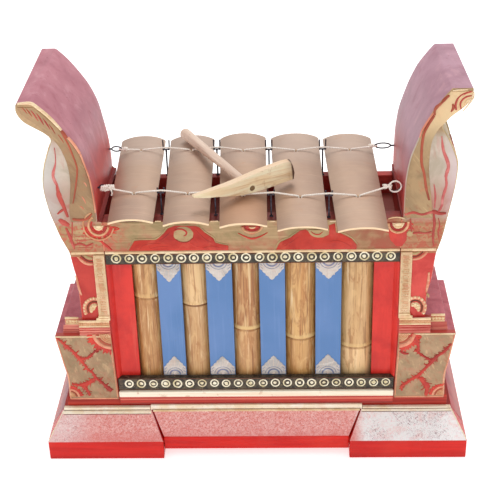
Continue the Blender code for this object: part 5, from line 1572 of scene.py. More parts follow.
curl_red.ridge(seen([(173.6, 231), (177.6, 228.8), (182.4, 229), (186.4, 231.4), (185.8, 234.6), (183.6, 235.4)], CASE_FRONT), [1.2 * PIXEL, 1.6 * PIXEL, 1.8 * PIXEL, 1.8 * PIXEL, 1.4 * PIXEL, 0.8 * PIXEL], 0.0006)
curl_red.ridge(seen([(175.5, 239), (181, 242), (188, 241.6), (193, 237.6)], CASE_FRONT), 1.1 * PIXEL, 0.0005, taper=0.3)
c = seen([(318.8, 229.6)], CASE_FRONT)[0]
curls.dome(c[0], c[1], 0.0160, 0.0016, squash=0.86, n=26, a0=180, a1=360)
curl_red.ridge(seen([(310.8, 231), (314.6, 233.6), (319.4, 233.8), (323, 231)], CASE_FRONT), 1.5 * PIXEL, 0.0006, taper=0.3)
c = seen([(409.8, 233.6)], CASE_FRONT)[0]
curls.dome(c[0], c[1], 0.0050, 0.0014, n=16)
for pts, w in (
    ([(128, 249.4), (133.6, 240), (141, 239), (155.4, 238.8), (163, 232.6), (167.4, 227.4), (175, 224.4), (190, 224.8)], 1.5),
    ([(199, 226), (205, 231.4), (213.4, 237), (216.6, 242), (229, 244.8)], 1.4),
    ([(275.4, 248), (279.8, 241), (289.8, 236.4), (300, 229.2)], 1.4), ([(337, 231.4), (342, 232.4), (352, 237.6), (357.6, 244)], 1.4),
):
    curls.ridge(seen(pts, CASE_FRONT), w * PIXEL, 0.0008, taper=0.4)
curls.done()
curl_red.done()
# half rosettes at the middle and the ends of the band
rosette = Relief("band_rosettes", front_of(CASE_FRONT - 0.0012), mat_pink_gold, "gold_paint", sink=0.0016)
rosette_shadow = Relief("band_rosette_painted_shadow", front_of(CASE_FRONT - 0.0012), mat_vein, "dark_red_enamel", sink=0.0016)
beads = Relief("band_beads", RAIL, mat_cream, "cream_gold")
for (cx_px, cy_px), rad, squash, bead, a0, a1 in (
    ((252.2, 226.4), 9.0, 0.68, 3.4, 180, 360), ((98.4, 225.4), 9.4, 1.10, 5.0, 118, 352), ((398.4, 222.6), 9.2, 1.10, 5.8, 180, 368),
):
    u, v = seen([(cx_px, cy_px)], CASE_FRONT)[0]
    rosette.arc(u, v, rad * PIXEL, 2.3 * PIXEL, 0.0014, a0, a1, squash=squash, n=24)
    # painted shadow: a dark red ring just outside the bead
    rosette_shadow.arc(u, v, (rad - 2.4) * PIXEL, 1.6 * PIXEL, 0.0006, max(a0, 140), min(a1, 360), squash=squash, n=20)
    beads.dome(u, v, bead * PIXEL, 0.0030, squash=squash, n=16, a0=180, a1=360)
    if u < -0.1:  # second, thinner ring round the left one
        rosette.arc(u, v, (rad + 5.0) * PIXEL, 1.5 * PIXEL, 0.0012, 112, 350, squash=squash * 0.96, n=26, wild=0.03)
    if abs(u) > 0.1:
        for k in range(5):
            a = math.radians(200 + 140 * k / 4)
            beads.dome(u + bead * 0.66 * PIXEL * math.cos(a), v + bead * 0.66 * PIXEL * squash * math.sin(a), 0.0018, 0.0040, n=8)
rosette.done()
rosette_shadow.done()
# cream beads along the bottom of the band and round the ends of the case
seam = Relief("band_seams", RAIL, mat_pink_line, "gold_paint")
for s in (-1, 1):
    seam.ridge([(s * 0.2189, 0.3562 + 0.0462 * k / 8) for k in range(9)], 0.0016, 0.0006, steps=1, wild=0.3)
seam.done()
beads.ridge([(-INNER_X + 0.001 + (2 * INNER_X - 0.002) * k / 40, RAIL_BOTTOM + 0.0026) for k in range(41)], 0.0044, 0.0016, steps=1)
for s in (-1, 1):
    outer = abs(OUT_X[s](0.3525)) - 0.0025
    beads.ridge([(s * (0.2195 + (outer - 0.2195) * k / 6), RAIL_BOTTOM + 0.0026) for k in range(7)], 0.0044, 0.0016, steps=1)
beads.ridge(seen([(388.4, 218.8), (393, 217.6), (400, 217.6), (405.4, 218.6)], CASE_FRONT), 1.4 * PIXEL, 0.0014, taper=0.5)
for a, b in ((210.5, 218), (269.4, 275.4), (329.6, 335.6), (155, 161)):
    beads.ridge(seen([(a, 221.4), ((a + b) / 2, 221.2), (b, 221.2)], CASE_FRONT), 1.1 * PIXEL, 0.0006, steps=1)
beads.done()

# ---------------------------------------------------------------- end blocks
BLOCK = front_of(BLOCK_FRONT)


def quarter(layers, u, v, sx, sz, radii, ticks=6, seed=1):
    """Quarter rosette that opens to the quadrant (sx, sz): core, dark gap, ring and flames."""
    core, dark, ring, burst = layers
    a0 = {(-1, -1): 180, (1, -1): 270, (-1, 1): 90, (1, 1): 0}[(sx, sz)]
    r0, r1, r2, r3 = radii
    rnd = random.Random(seed)
    for k in range(5):
        core.arc(u, v, r0 * (0.25 + 0.17 * k), r0 * 0.15, 0.0016, a0 + 3, a0 + 87, n=10)
    dark.arc(u, v, (r0 + r1) / 2, (r1 - r0) * 0.8, 0.0006, a0 + 2, a0 + 88, n=12)
    ring.arc(u, v, (r1 + r2) / 2, (r2 - r1) * 0.95, 0.0018, a0 + 2, a0 + 88, n=14)
    rim = []
    for k in range(4 * ticks + 1):
        a = math.radians(a0 + 3 + 84 * k / (4 * ticks))
        out = r2 + (r3 - r2) * (rnd.uniform(0.15, 0.45) if k % 2 else rnd.uniform(0.45, 0.85))
        rim.append((u + out * math.cos(a), v + out * math.sin(a)))
    rim += [(u + r2 * 0.9 * math.cos(math.radians(a0 + 87 - 84 * k / 8)), v + r2 * 0.9 * math.sin(math.radians(a0 + 87 - 84 * k / 8))) for k in range(9)]
    burst.field(rim, 0.0006, 0.0002)
    ticks = ticks * 2
    for k in range(ticks):
        a = a0 + 6 + 78 * k / (ticks - 1)
        c, s = math.cos(math.radians(a)), math.sin(math.radians(a))
        burst.leaf(u + r2 * 0.98 * c, v + r2 * 0.98 * s, a + rnd.uniform(-16, 16), (r3 - r2) * rnd.uniform(0.9, 1.4), 0.0030, 0.0009, bend=rnd.uniform(-0.2, 0.2))


core = Relief("block_cores", BLOCK, mat_pink_gold, "gold_paint")
gap_dark = Relief("block_gaps", BLOCK, mat_rust, "dark_red_enamel")
ring = Relief("block_rings", BLOCK, mat_rose_gold, "gold_paint")
burst = Relief("block_flames", BLOCK, mat_flame, "red_enamel")
vine = Relief("block_vines", BLOCK, mat_vein, "red_enamel")
trim = Relief("block_trim", BLOCK, mat_cream, "cream_gold")
layers = (core, gap_dark, ring, burst)
u, v = seen([(110.7, 333.2)], BLOCK_FRONT)[0]
quarter(layers, u, v - 0.0006, -1, -1, (11.8 * PIXEL, 15.3 * PIXEL, 19.0 * PIXEL, 24.5 * PIXEL), 8, 2)
u, v = seen([(399.0, 333.0)], BLOCK_FRONT)[0]
quarter(layers, u, v - 0.0006, 1, -1, (9.7 * PIXEL, 12.6 * PIXEL, 17.0 * PIXEL, 22.0 * PIXEL), 7, 3)
u, v = seen([(70.4, 397.2)], BLOCK_FRONT)[0]
quarter(layers, u, v + 0.0012, 1, 1, (6.0 * PIXEL, 8.0 * PIXEL, 10.6 * PIXEL, 14.0 * PIXEL), 5, 4)
u, v = seen([(443.0, 395.6)], BLOCK_FRONT)[0]
quarter(layers, u, v + 0.0012, -1, 1, (7.4 * PIXEL, 9.4 * PIXEL, 11.9 * PIXEL, 15.0 * PIXEL), 5, 5)
for pts, widths in (
    ([(56.4, 337.6), (62.8, 342.9), (66.8, 346.9), (72, 350.5), (77.6, 356.6), (80.6, 359.7), (84.7, 364.8), (87.8, 369.4), (92.3, 372.4), (95.9, 377.6), (101.5, 382.1), (107.7, 387.8), (111.7, 390.8)], [1.5, 2.4, 3.6, 2.6, 3.4, 3.8, 2.2, 2.4, 2.2, 2.6, 2.4, 3.8, 2.0]),
    ([(80.6, 358.7), (86.7, 358.2), (91.8, 354.6), (95.9, 350.5), (101, 349)], [3.0, 2.2, 2.0, 1.8, 1.2]),
    ([(95.9, 377.6), (90.8, 381.6), (83.2, 384.7), (77, 384.8), (71.9, 383.7)], [2.4, 4.0, 3.8, 2.2, 1.2]),
    ([(83.2, 385.7), (87.8, 390.8), (89.8, 395.4)], [3.4, 3.0, 2.2]),
    ([(450.9, 343.7), (448, 347.6), (443, 352.5), (436.7, 356.4), (431.7, 361.8), (424.4, 369.2), (418, 375.6), (411.1, 379.5), (406.2, 383), (401.8, 385.9), (401.8, 390.3)], [1.5, 2.4, 2.6, 3.0, 3.2, 2.6, 3.4, 2.6, 2.4, 2.4, 1.8]),
    ([(430.8, 360.4), (421.9, 355), (414.6, 349.6)], [2.6, 2.2, 1.6]),
    ([(419.5, 377.1), (424.4, 383), (427.3, 386.4), (425.9, 395.2)], [2.6, 4.4, 5.0, 3.0]),
    ([(411.4, 333.6), (415.6, 340), (418.6, 346.6), (417.0, 352)], [3.0, 3.4, 2.6, 1.8]),
    ([(399.8, 351), (404, 353.2), (408.7, 353.6)], [2.0, 2.4, 1.6]),
):
    pts = seen(pts, BLOCK_FRONT)
    vine.ridge(pts, [w * PIXEL * 1.15 for w in widths], 0.0014, wild=0.45)
    line = spline([(u, v, w) for (u, v), w in zip(pts, widths)], 3)
    for (u0, v0, w), (u1, v1, _) in zip(line, line[1:]):
        long = math.hypot(u1 - u0, v1 - v0) or 1.0
        du, dv = (u1 - u0) / long, (v1 - v0) / long
        for side in (-1, 1):  # short barbs that make the vine feathery
            if rng.random() < 0.30:
                continue
            reach = w * PIXEL * rng.uniform(0.7, 1.3) + 0.0008
            lean = rng.uniform(0.1, 0.9)
            tip = (u0 + side * -dv * reach + du * reach * lean, v0 + side * du * reach + dv * reach * lean)
            vine.ridge([(u0, v0), ((u0 + tip[0]) / 2, (v0 + tip[1]) / 2), tip], [0.0019, 0.0013, 0.0005], 0.0009, steps=1)
for pts in (  # small ticks beside the vines
    [(67, 347), (64, 349.6)], [(76, 353), (79, 350.6)], [(86, 368), (83, 370)], [(91, 371), (94, 368)], [(100, 380), (103, 377)], [(64, 343), (66.6, 340.4)],
    [(446, 349), (443, 346.6)], [(434, 359), (437.6, 361.6)], [(427, 366), (424, 363)], [(414, 377), (411, 374.6)], [(422, 377), (425.6, 379.6)], [(94, 351), (97.6, 352.6)],
    [(91, 380.6), (89, 377.6)], [(106, 385), (109, 383)], [(422, 356), (420, 352.6)], [(404, 384), (401, 381)],
):
    vine.ridge(seen([pts[0], ((pts[0][0] + pts[1][0]) / 2, (pts[0][1] + pts[1][1]) / 2), pts[1]], BLOCK_FRONT), [1.8 * PIXEL, 1.4 * PIXEL, 0.6 * PIXEL], 0.0009, steps=2)
for s in (-1, 1):
    # rim lines: cream on top, pinkish at the bottom, along both sides
    trim.ridge([(s * (0.2215 + 0.0855 * k / 8), BLOCK_TOP - 0.0016) for k in range(9)], 0.0022, 0.0010, steps=1)
    ring.ridge([(s * (0.2195 + 0.0745 * k / 8), FLOOR_Z + 0.0018) for k in range(9)], 0.0026, 0.0010, steps=1)
    ring.ridge([(s * x, z) for x, z in ((0.3065, 0.2050), (0.3020, 0.1780), (0.2976, 0.1510), (0.2942, 0.1340), (0.2936, 0.1120), (0.2944, 0.0900))], 0.0022, 0.0009, steps=3)
    ring.ridge([(s * x, z) for x, z in ((0.2226, 0.1800), (0.2212, 0.1500), (0.2202, 0.1200), (0.2194, 0.0910))], 0.0016, 0.0007, steps=3)
for layer in (core, gap_dark, ring, burst, vine, trim):
    layer.done()

# ---------------------------------------------------------------- collars of the blocks: knobbly gold strip over a ribbed red one
for s in (-1, 1):
    tag = "left" if s < 0 else "right"
    strip = Relief(f"collar_strip_{tag}", BLOCK, mat_cream, "cream_gold")
    field = Relief(f"collar_field_{tag}", BLOCK, mat_pink_gold, "gold_paint")
    dark = Relief(f"collar_ground_{tag}", BLOCK, mat_vein, "red_enamel")
    strip.ridge([(s * (0.2212 + 0.0472 * k / 8), 0.2342) for k in range(9)], 0.0038, 0.0016, steps=1, wild=0.15)
    field.ridge([(s * (0.2212 + 0.0472 * k / 8), 0.2300) for k in range(9)], 0.0062, 0.0008, steps=1)
    strip.ridge([(s * (0.2212 + 0.0472 * k / 8), 0.2254) for k in range(9)], 0.0032, 0.0018, steps=1, wild=0.15)
    for k in range(15):
        field.dome(s * (0.2228 + 0.0440 * k / 14), 0.2300 + rng.uniform(-0.0005, 0.0005), rng.uniform(0.0011, 0.0018), 0.0020, squash=1.5, n=8, wild=0.3)
    for z in (0.2222, 0.2182, 0.2134):
        dark.ridge([(s * (0.2212 + 0.0472 * k / 8), z + rng.uniform(-0.0003, 0.0003)) for k in range(9)], 0.0014, 0.0006, steps=1)
    for layer in (strip, field, dark):
        layer.done()
    # the same on the outer part of the collar, which stands a little further back
    outer = Relief(f"collar_outer_{tag}", front_of(-0.0870 + MIDDLE_Y), mat_cream, "cream_gold")
    outer_red = Relief(f"collar_outer_field_{tag}", front_of(-0.0870 + MIDDLE_Y), mat_pink_gold, "gold_paint")
    lo, hi = 0.2700, 0.2908
    outer.ridge([(s * (lo + (hi - lo) * k / 5), 0.2350) for k in range(6)], 0.0036, 0.0016, steps=1, wild=0.4)
    outer_red.ridge([(s * (lo + (hi - lo) * k / 5), 0.2290) for k in range(6)], 0.0060, 0.0010, steps=1)
    outer.ridge([(s * (lo + (hi - lo) * k / 5), 0.2246) for k in range(6)], 0.0026, 0.0016, steps=1)
    for k in range(4):
        outer.dome(s * (lo + 0.003 + (hi - lo - 0.006) * k / 3), 0.2290, 0.0024, 0.0020, squash=1.2, n=10, wild=0.3)
    outer.done()
    outer_red.done()

# ---------------------------------------------------------------- red upper sides of the end boards, with pilasters
FRONT = front_of(CASE_FRONT)
arcs = Relief("side_arcs", FRONT, mat_rose_gold, "gold_paint")
arc_dark = Relief("side_arc_gaps", FRONT, mat_brown_line, "dark_red_enamel")
leaves = Relief("side_leaves", FRONT, mat_gold, "gold_paint")
bead = Relief("side_beads", FRONT, mat_cream, "cream_gold")
for (u, v), r_ring, r_bead, squash, low in ((seen([(95.2, 309.2)], CASE_FRONT)[0], 0.0160, 0.0088, 1.19, -28), (seen([(415.0, 307.6)], CASE_FRONT)[0], 0.0148, 0.0082, 1.22, -36)):
    s = 1 if u > 0 else -1
    a0, a1 = (low, 140) if s > 0 else (70, 180 - low)
    arcs.arc(u, v, r_ring, 0.0056, 0.0014, a0, a1, squash=squash, n=22, wild=0.06)
    arc_dark.arc(u, v, r_ring * 0.72, 0.0026, 0.0006, a0, a1, squash=squash, n=16)
    bead.dome(u, v, r_bead, 0.0016, n=18, squash=squash, a0=a0, a1=a1, wild=0.10)
    for k in range(9):
        a = math.radians(a0 + 6 + (a1 - a0 - 12) * k / 8)
        c, d = math.cos(a), math.sin(a) * squash
        bead.dome(u + (r_ring + 0.0008) * c, v + (r_ring + 0.0008) * d, rng.uniform(0.0017, 0.0022), 0.0024, n=9, wild=0.35)
        if k % 2 == 0:
            bead.dome(u + r_bead * 0.72 * c, v + r_bead * 0.72 * d, 0.0025, 0.0034, n=9, wild=0.2)
    bead.dome(u + s * r_bead * 0.30, v + r_bead * 0.12, 0.0022, 0.0034, n=9, wild=0.2)
arcs.ridge(seen([(77.6, 256.4), (83.2, 261.8), (88.3, 264), (93.0, 264.2)], CASE_FRONT), 3.2 * PIXEL, 0.0016, taper=0.6)
arc_dark.ridge(seen([(81, 255.4), (85.6, 259.8), (89.6, 261.4), (93.0, 261.6)], CASE_FRONT), 1.3 * PIXEL, 0.0006)
leaves.ridge(seen([(84.4, 255.4), (88, 257.8), (92.4, 258.6)], CASE_FRONT), [2.6 * PIXEL, 3.6 * PIXEL, 2.8 * PIXEL], 0.0014)
arcs.ridge(seen([(410.9, 259.4), (416, 259), (420.8, 257.3), (424.8, 254.4), (427.2, 251.6)], CASE_FRONT), 2.8 * PIXEL, 0.0016, taper=0.6)
arc_dark.ridge(seen([(411, 256.8), (416, 256.4), (420, 254.6), (423, 251.8)], CASE_FRONT), 1.3 * PIXEL, 0.0006)
leaves.ridge(seen([(411.6, 253.6), (415.6, 253.6), (419.6, 251.8)], CASE_FRONT), [2.8 * PIXEL, 3.2 * PIXEL, 2.0 * PIXEL], 0.0014)
arcs.ridge(seen([(76.0, 275.6), (77.4, 282), (79.2, 289), (81.4, 294.9)], CASE_FRONT), 2.4 * PIXEL, 0.0013, taper=0.6)
arcs.ridge(seen([(428.9, 272.2), (428.4, 280), (427.2, 287), (426.2, 292)], CASE_FRONT), 2.8 * PIXEL, 0.0013, taper=0.6)
leaves.ridge(seen([(426.6, 293.4), (428.2, 295.2), (428.6, 297.4)], CASE_FRONT), [1.6 * PIXEL, 2.4 * PIXEL, 1.2 * PIXEL], 0.0012)
for layer in (arcs, arc_dark, leaves, bead):
    layer.done()
# red fillets in the corners between the red boards and the sides of the front
for s in (-1, 1):
    bm = bmesh.new()
    for rows in (((0.1243, 0.2178), (0.2078, 0.2201), (0.2354, 0.2201)), ((0.2357, 0.2188), (0.3315, 0.2188))):
        foot_y, top_y = INFILL_FRONT - 0.0002, -0.0738
        rings = []
        for z, b in rows:
            section = [(0.2112, foot_y), (0.2116, foot_y - 0.0005), (b - 0.0022, top_y + 0.0006), (b - 0.0014, top_y), (b, top_y), (b, foot_y)]
            rings.append([(s * x, y, z) for x, y in section])
        loft_into(bm, rings)
    keep(f"fillet_{'left' if s < 0 else 'right'}", bm, mat_red, smooth=30)
# narrow red strips that close the case between the end blocks and the rear panel
for s in (-1, 1):
    bm = bmesh.new()
    rings = [[(s * x, y + MIDDLE_Y, z) for x, y in ((0.2126, 0.0560), (0.2156, 0.0560), (0.2163, 0.0567), (0.2163, 0.0702), (0.2126, 0.0702))] for z in (0.0884, 0.1600, 0.2372)]
    loft_into(bm, rings)
    keep(f"closing_strip_{'left' if s < 0 else 'right'}", bm, mat_dark_red, smooth=30)
PILASTER = front_of(CASE_FRONT - 0.0036)
for s in (-1, 1):
    tag = "left" if s < 0 else "right"
    work = Relief(f"pilaster_work_{tag}", PILASTER, mat_cream, "cream_gold")
    rungs = Relief(f"pilaster_rungs_{tag}", PILASTER, mat_pink_gold, "cream_gold")
    x0, x1 = 0.2195, 0.2365
    for x in (x0 + 0.0011, x1 - 0.0011):
        work.ridge([(s * x, 0.2450 + 0.1030 * k / 12) for k in range(13)], 0.0011, 0.0006, steps=1)
    k, z = 0, 0.2490
    while z < 0.3460:
        close = (0.285 < z < 0.300) or z > 0.325
        a, b = rng.uniform(0.0030, 0.0056), rng.uniform(0.0030, 0.0056)
        if k % 3 or close:
            rungs.ridge([(s * (x0 + a), z), (s * (x0 + x1) / 2, z + rng.uniform(-0.0006, 0.0006)), (s * (x1 - b), z + rng.uniform(-0.0004, 0.0004))], rng.uniform(0.0008, 0.0014), 0.0006, steps=2, wild=0.2)
        else:
            for d in (-0.0034, 0.0, 0.0034):
                rungs.dome(s * (x0 + x1) / 2 + d + rng.uniform(-0.0005, 0.0005), z, rng.uniform(0.0007, 0.0012), 0.0008, n=7, wild=0.3)
        k += 1
        z += 0.0022 if close else 0.0031
    # foot piece, wider than the shaft
    work.field([(s * x0, 0.2362), (s * (x1 + 0.0042), 0.2362), (s * (x1 + 0.0042), 0.2398), (s * (x1 + 0.0006), 0.2412), (s * (x1 + 0.0006), 0.2440), (s * x0, 0.2440)], 0.0016, 0.0005)
    rungs.ridge([(s * (x0 + 0.0012), 0.2405), (s * (x1 - 0.0006), 0.2405)], 0.0010, 0.0022, steps=1)
    work.done()
    rungs.done()

# ---------------------------------------------------------------- carved lines on the fronts of the horns
for s in (-1, 1):
    tag = "left" if s < 0 else "right"
    Y = BOARD_FRONT[s]
    on = lambda u, v, h, Y=Y: Vector((u, Y(v) - h, v))
    cream = Relief(f"horn_edge_{tag}", on, mat_cream, "cream_gold")
    pink = Relief(f"horn_pink_{tag}", on, mat_pink_line, "cream_gold")
    red = Relief(f"horn_veins_{tag}", on, mat_rust, "red_enamel")
    brown = Relief(f"horn_brown_{tag}", on, mat_faded, "red_enamel")
    W = PIXEL * 0.97
    if s < 0:
        edge_px = [(16.6, 104), (17.4, 110), (23, 116), (30, 120.5), (43, 129.5), (50, 135), (53.6, 140), (58.4, 146), (62, 152), (66.6, 163), (69.4, 175), (70.2, 187), (69.6, 200), (69.4, 212), (70.4, 220)]
    else:
        edge_px = [(474, 92), (473, 97), (470, 103), (466, 109), (456, 114.6), (446, 122), (438, 130), (432.6, 140), (430.2, 152), (429.2, 168), (430.0, 184), (431.6, 200), (432.6, 211), (433, 220)]
    rim = table_of([(x, -z) for x, z in seen(edge_px, Y)])
    top = HORN_OUT[s][0][1]
    rows, z = [], 0.4062
    while z < top - 0.0022:
        far = rim(-z)
        limit = s * (abs(OUT_X[s](z)) - 0.0003)
        far = max(far, limit) if s < 0 else min(far, limit)
        rows.append((z, in_x(s, z) + s * 0.0016, far))
        z += 0.0028
    band_plate = Relief(f"horn_band_{tag}", on, mat_horn_gold, "gold_paint", sink=0.0006)
    band_plate.strip(rows, 0.0016, 0.0016)
    band_plate.done()
    lift = lambda u, v, h, Y=Y: Vector((u, Y(v) - 0.0015 - h, v))
    for layer in (cream, pink, red, brown):
        layer.where, layer.sink = lift, 0.0008
    lobe = Relief(f"lobe_veins_{tag}", on, mat_faded, "red_enamel")
    # the stripes on the lobes take the paler red of the painted glare
    stripe = Relief(f"lobe_stripe_{tag}", on, mat_glare_red, "red_enamel")
    if s < 0:
        cream.ridge(seen([(17.6, 103.4), (24, 102.9), (31.4, 103.2), (38, 107.6), (46, 114), (54, 121.6), (61.4, 129.6)], Y), [1.6 * W, 2.4 * W, 3.0 * W, 3.0 * W, 3.0 * W, 2.8 * W, 2.0 * W], 0.0020)
        red.ridge(seen([(61.6, 130.4), (64, 134), (67.0, 137.4)], Y), [2.6 * W, 3.6 * W, 2.0 * W], 0.0018)
        pink.ridge(seen([(68, 137), (74, 144), (80, 153)], Y), [2.4 * W, 2.6 * W, 2.2 * W], 0.0018)
        pink.ridge(seen([(80.4, 153.8), (85, 165.6), (89.4, 178), (92, 190), (94.2, 202), (95.5, 212)], Y), [1.8 * W, 1.5 * W, 1.3 * W, 1.3 * W, 1.3 * W, 1.3 * W], 0.0012)
        red.ridge(seen([(63, 134.4), (68.3, 143.9), (73, 155.4), (77.2, 167.8), (76.4, 182), (74.5, 195.6), (73, 203)], Y), [1.6 * W, 1.8 * W, 1.7 * W, 1.6 * W, 1.6 * W, 1.4 * W, 0.9 * W], 0.0012)
        lobe.ridge(seen([(72, 219), (72.2, 228), (72, 242.5)], Y), 1.4 * W, 0.0008, taper=0.5)
        stripe.ridge(seen([(54.4, 147.9), (55.6, 162), (53, 175.5), (56.8, 185), (58.6, 190)], Y), [0.8 * W, 1.2 * W, 3.0 * W, 2.6 * W, 2.2 * W], 0.0012, wild=0.3)
        lobe.ridge(seen([(56.6, 184.6), (59.4, 196.6), (63.5, 206), (67.8, 217)], Y), [1.6 * W, 5.0 * W, 4.2 * W, 2.4 * W], 0.0014, wild=0.25)
        lobe.ridge(seen([(59.0, 219.4), (63.6, 222.6), (69.0, 225.6)], Y), [3.0 * W, 6.0 * W, 3.6 * W], 0.0014)
        lobe.ridge(seen([(57.6, 214), (61.6, 210.6), (65.4, 209)], Y), [1.4 * W, 2.6 * W, 1.4 * W], 0.0012)
        lobe.ridge(seen([(66, 228), (69.6, 236), (72.6, 244), (74.4, 249)], Y), [2.0 * W, 3.2 * W, 2.8 * W, 1.4 * W], 0.0012)
        lobe.ridge(seen([(73.4, 246), (80, 243.6), (87, 246), (93, 243)], Y), [1.2 * W, 2.2 * W, 2.0 * W, 1.2 * W], 0.0010)
        red.ridge(seen([(72.6, 218.6), (80, 219.4), (87.4, 218.2), (92, 213)], Y), [2.4 * W, 3.0 * W, 2.8 * W, 1.6 * W], 0.0013)
        for a, b, w in (((26, 108), (29, 116), 1.4), ((31, 110), (35, 120), 1.8), ((36.6, 113), (40.6, 124), 1.8), ((43, 118), (47, 128.6), 1.6), ((49, 123.6), (52, 133), 1.4), ((22, 107), (24, 113), 1.2), ((58, 134), (60.6, 142), 1.2)):
            (brown if w > 1.5 else red).ridge(seen([a, ((a[0] + b[0]) / 2 + 1.8, (a[1] + b[1]) / 2), (b[0] + 3.4, b[1] + 0.6)], Y), [0.3 * w * W, 1.0 * w * W, 0.3 * w * W], 0.0006, steps=3, wild=0.5)
        for y_px in (236.4, 240.4, 248.0):
            lobe.ridge(seen([(75, y_px), (84, y_px - 0.3), (93, y_px - 0.6)], Y), 0.8 * W, 0.0005, taper=0.4)
        for a, b in (((82, 196), (86, 203)), ((84, 182), (87, 186)), ((80, 206), (84, 209))):
            pink.ridge(seen([a, ((a[0] + b[0]) / 2, (a[1] + b[1]) / 2 - 0.8), b], Y), 1.4 * W, 0.0005, taper=0.3, steps=3)
    else:
        brown.ridge(seen([(472.0, 91.2), (466.7, 92.4), (461, 95.2), (457.0, 99.4), (455.4, 104.6), (456.2, 109.4)], Y), [1.0 * W, 1.8 * W, 2.0 * W, 1.8 * W, 2.2 * W, 1.6 * W], 0.0011)
        brown.ridge(seen([(471.6, 95.2), (466.4, 96.4), (462.2, 99.4), (460.2, 103.6), (461.0, 108.6)], Y), [1.0 * W, 1.7 * W, 1.8 * W, 1.8 * W, 1.0 * W], 0.0011)
        cream.ridge(seen([(470.8, 99.0), (466.6, 100.6), (464.6, 104.0)], Y), 1.8 * W, 0.0012, taper=0.5)
        cream.ridge(seen([(463.6, 93.8), (459.2, 97.6), (457.9, 103.0), (458.6, 108.0)], Y), 1.2 * W, 0.0012, taper=0.5)
        red.ridge(seen([(452.6, 103.4), (453.2, 107.4), (451.0, 111.4)], Y), [1.4 * W, 3.0 * W, 1.2 * W], 0.0010)
        red.ridge(seen([(449.4, 94.8), (445, 98.6), (441.2, 103), (437, 106.4), (434.6, 110), (434.6, 114.5)], Y), [1.6 * W, 2.8 * W, 2.0 * W, 3.0 * W, 2.2 * W, 2.4 * W], 0.0014, wild=0.2)
        red.ridge(seen([(434.2, 115), (428, 124.7), (424.4, 132), (422.8, 138), (421.6, 148.7), (421.6, 163), (424.2, 173.6), (426, 187), (429, 199.4)], Y), [2.4 * W, 2.6 * W, 2.4 * W, 2.8 * W, 2.4 * W, 2.6 * W, 2.4 * W, 2.6 * W, 2.0 * W], 0.0013, wild=0.15)
        pink.ridge(seen([(433.4, 112.6), (429, 118.6), (424.4, 125.7), (421.4, 131), (419.6, 137)], Y), [1.2 * W, 1.6 * W, 1.6 * W, 1.4 * W, 1.0 * W], 0.0016)
        stripe.ridge(seen([(441.8, 136), (443.4, 150), (448.4, 165), (446.0, 176), (446.4, 185), (443.0, 196.6), (441.6, 206), (437.6, 213)], Y), [0.8 * W, 3.0 * W, 3.6 * W, 2.6 * W, 2.2 * W, 2.8 * W, 2.4 * W, 2.0 * W], 0.0012, wild=0.35)
        stripe.ridge(seen([(434.0, 184), (435.4, 196), (434.4, 208)], Y), [0.8 * W, 2.0 * W, 1.2 * W], 0.0008, wild=0.3)
        lobe.ridge(seen([(404.6, 214.4), (413, 212.0), (422, 214.0), (431.9, 211.6), (440, 213.4), (446, 213)], Y), [2.6 * W, 4.2 * W, 3.4 * W, 4.4 * W, 3.6 * W, 1.8 * W], 0.0022, wild=0.2)
        lobe.ridge(seen([(433.6, 214), (434.4, 224), (433.0, 236), (433.6, 246)], Y), [2.4 * W, 2.8 * W, 2.2 * W, 1.2 * W], 0.0012, wild=0.2)
        lobe.ridge(seen([(410.6, 219), (411.0, 226), (411.6, 232)], Y), 1.8 * W, 0.0012, taper=0.6, wild=0.3)
        lobe.ridge(seen([(411.4, 233.4), (418, 232.6), (425, 233.2), (431.6, 231.6)], Y), 2.2 * W, 0.0012, taper=0.6, wild=0.3)
        lobe.ridge(seen([(438.4, 218), (439.6, 225), (438.2, 233), (439.4, 240)], Y), 1.3 * W, 0.0008, taper=0.4, wild=0.4)
        cream.ridge(seen([(452.6, 90.4), (460, 89.8), (468, 89.4)], Y), 1.4 * W, 0.0012, taper=0.4)
        cream.ridge(seen([(474, 91.6), (473.4, 97), (469, 103.6), (462.6, 111)], Y), 1.4 * W, 0.0012, taper=0.4)
    for layer in (cream, pink, red, brown, lobe, stripe):
        layer.done()

# ---------------------------------------------------------------- base lines
def on_slope(y0, z0, y1, z1):
    """Sloping face of the base; v runs down it from its top edge."""
    run = math.hypot(y1 - y0, z1 - z0)
    dy, dz = (y1 - y0) / run, (z1 - z0) / run
    return lambda u, v, h: Vector((u, y0 + dy * v + dz * h, z0 + dz * v - dy * h))


def lip(bm, xs, low, high, front=-0.0787):
    """Moulding that lies on the flat top of the base, with a rounded nose."""
    section = ((-0.0722, low), (-0.0722, high - 0.0006), (-0.0726, high), (front + 0.0010, high), (front + 0.0003, high - 0.0005), (front, high - 0.0014), (front, low + 0.0010), (front + 0.0006, low))
    loft_into(bm, [[(x, y, z) for y, z in section] for x in xs])


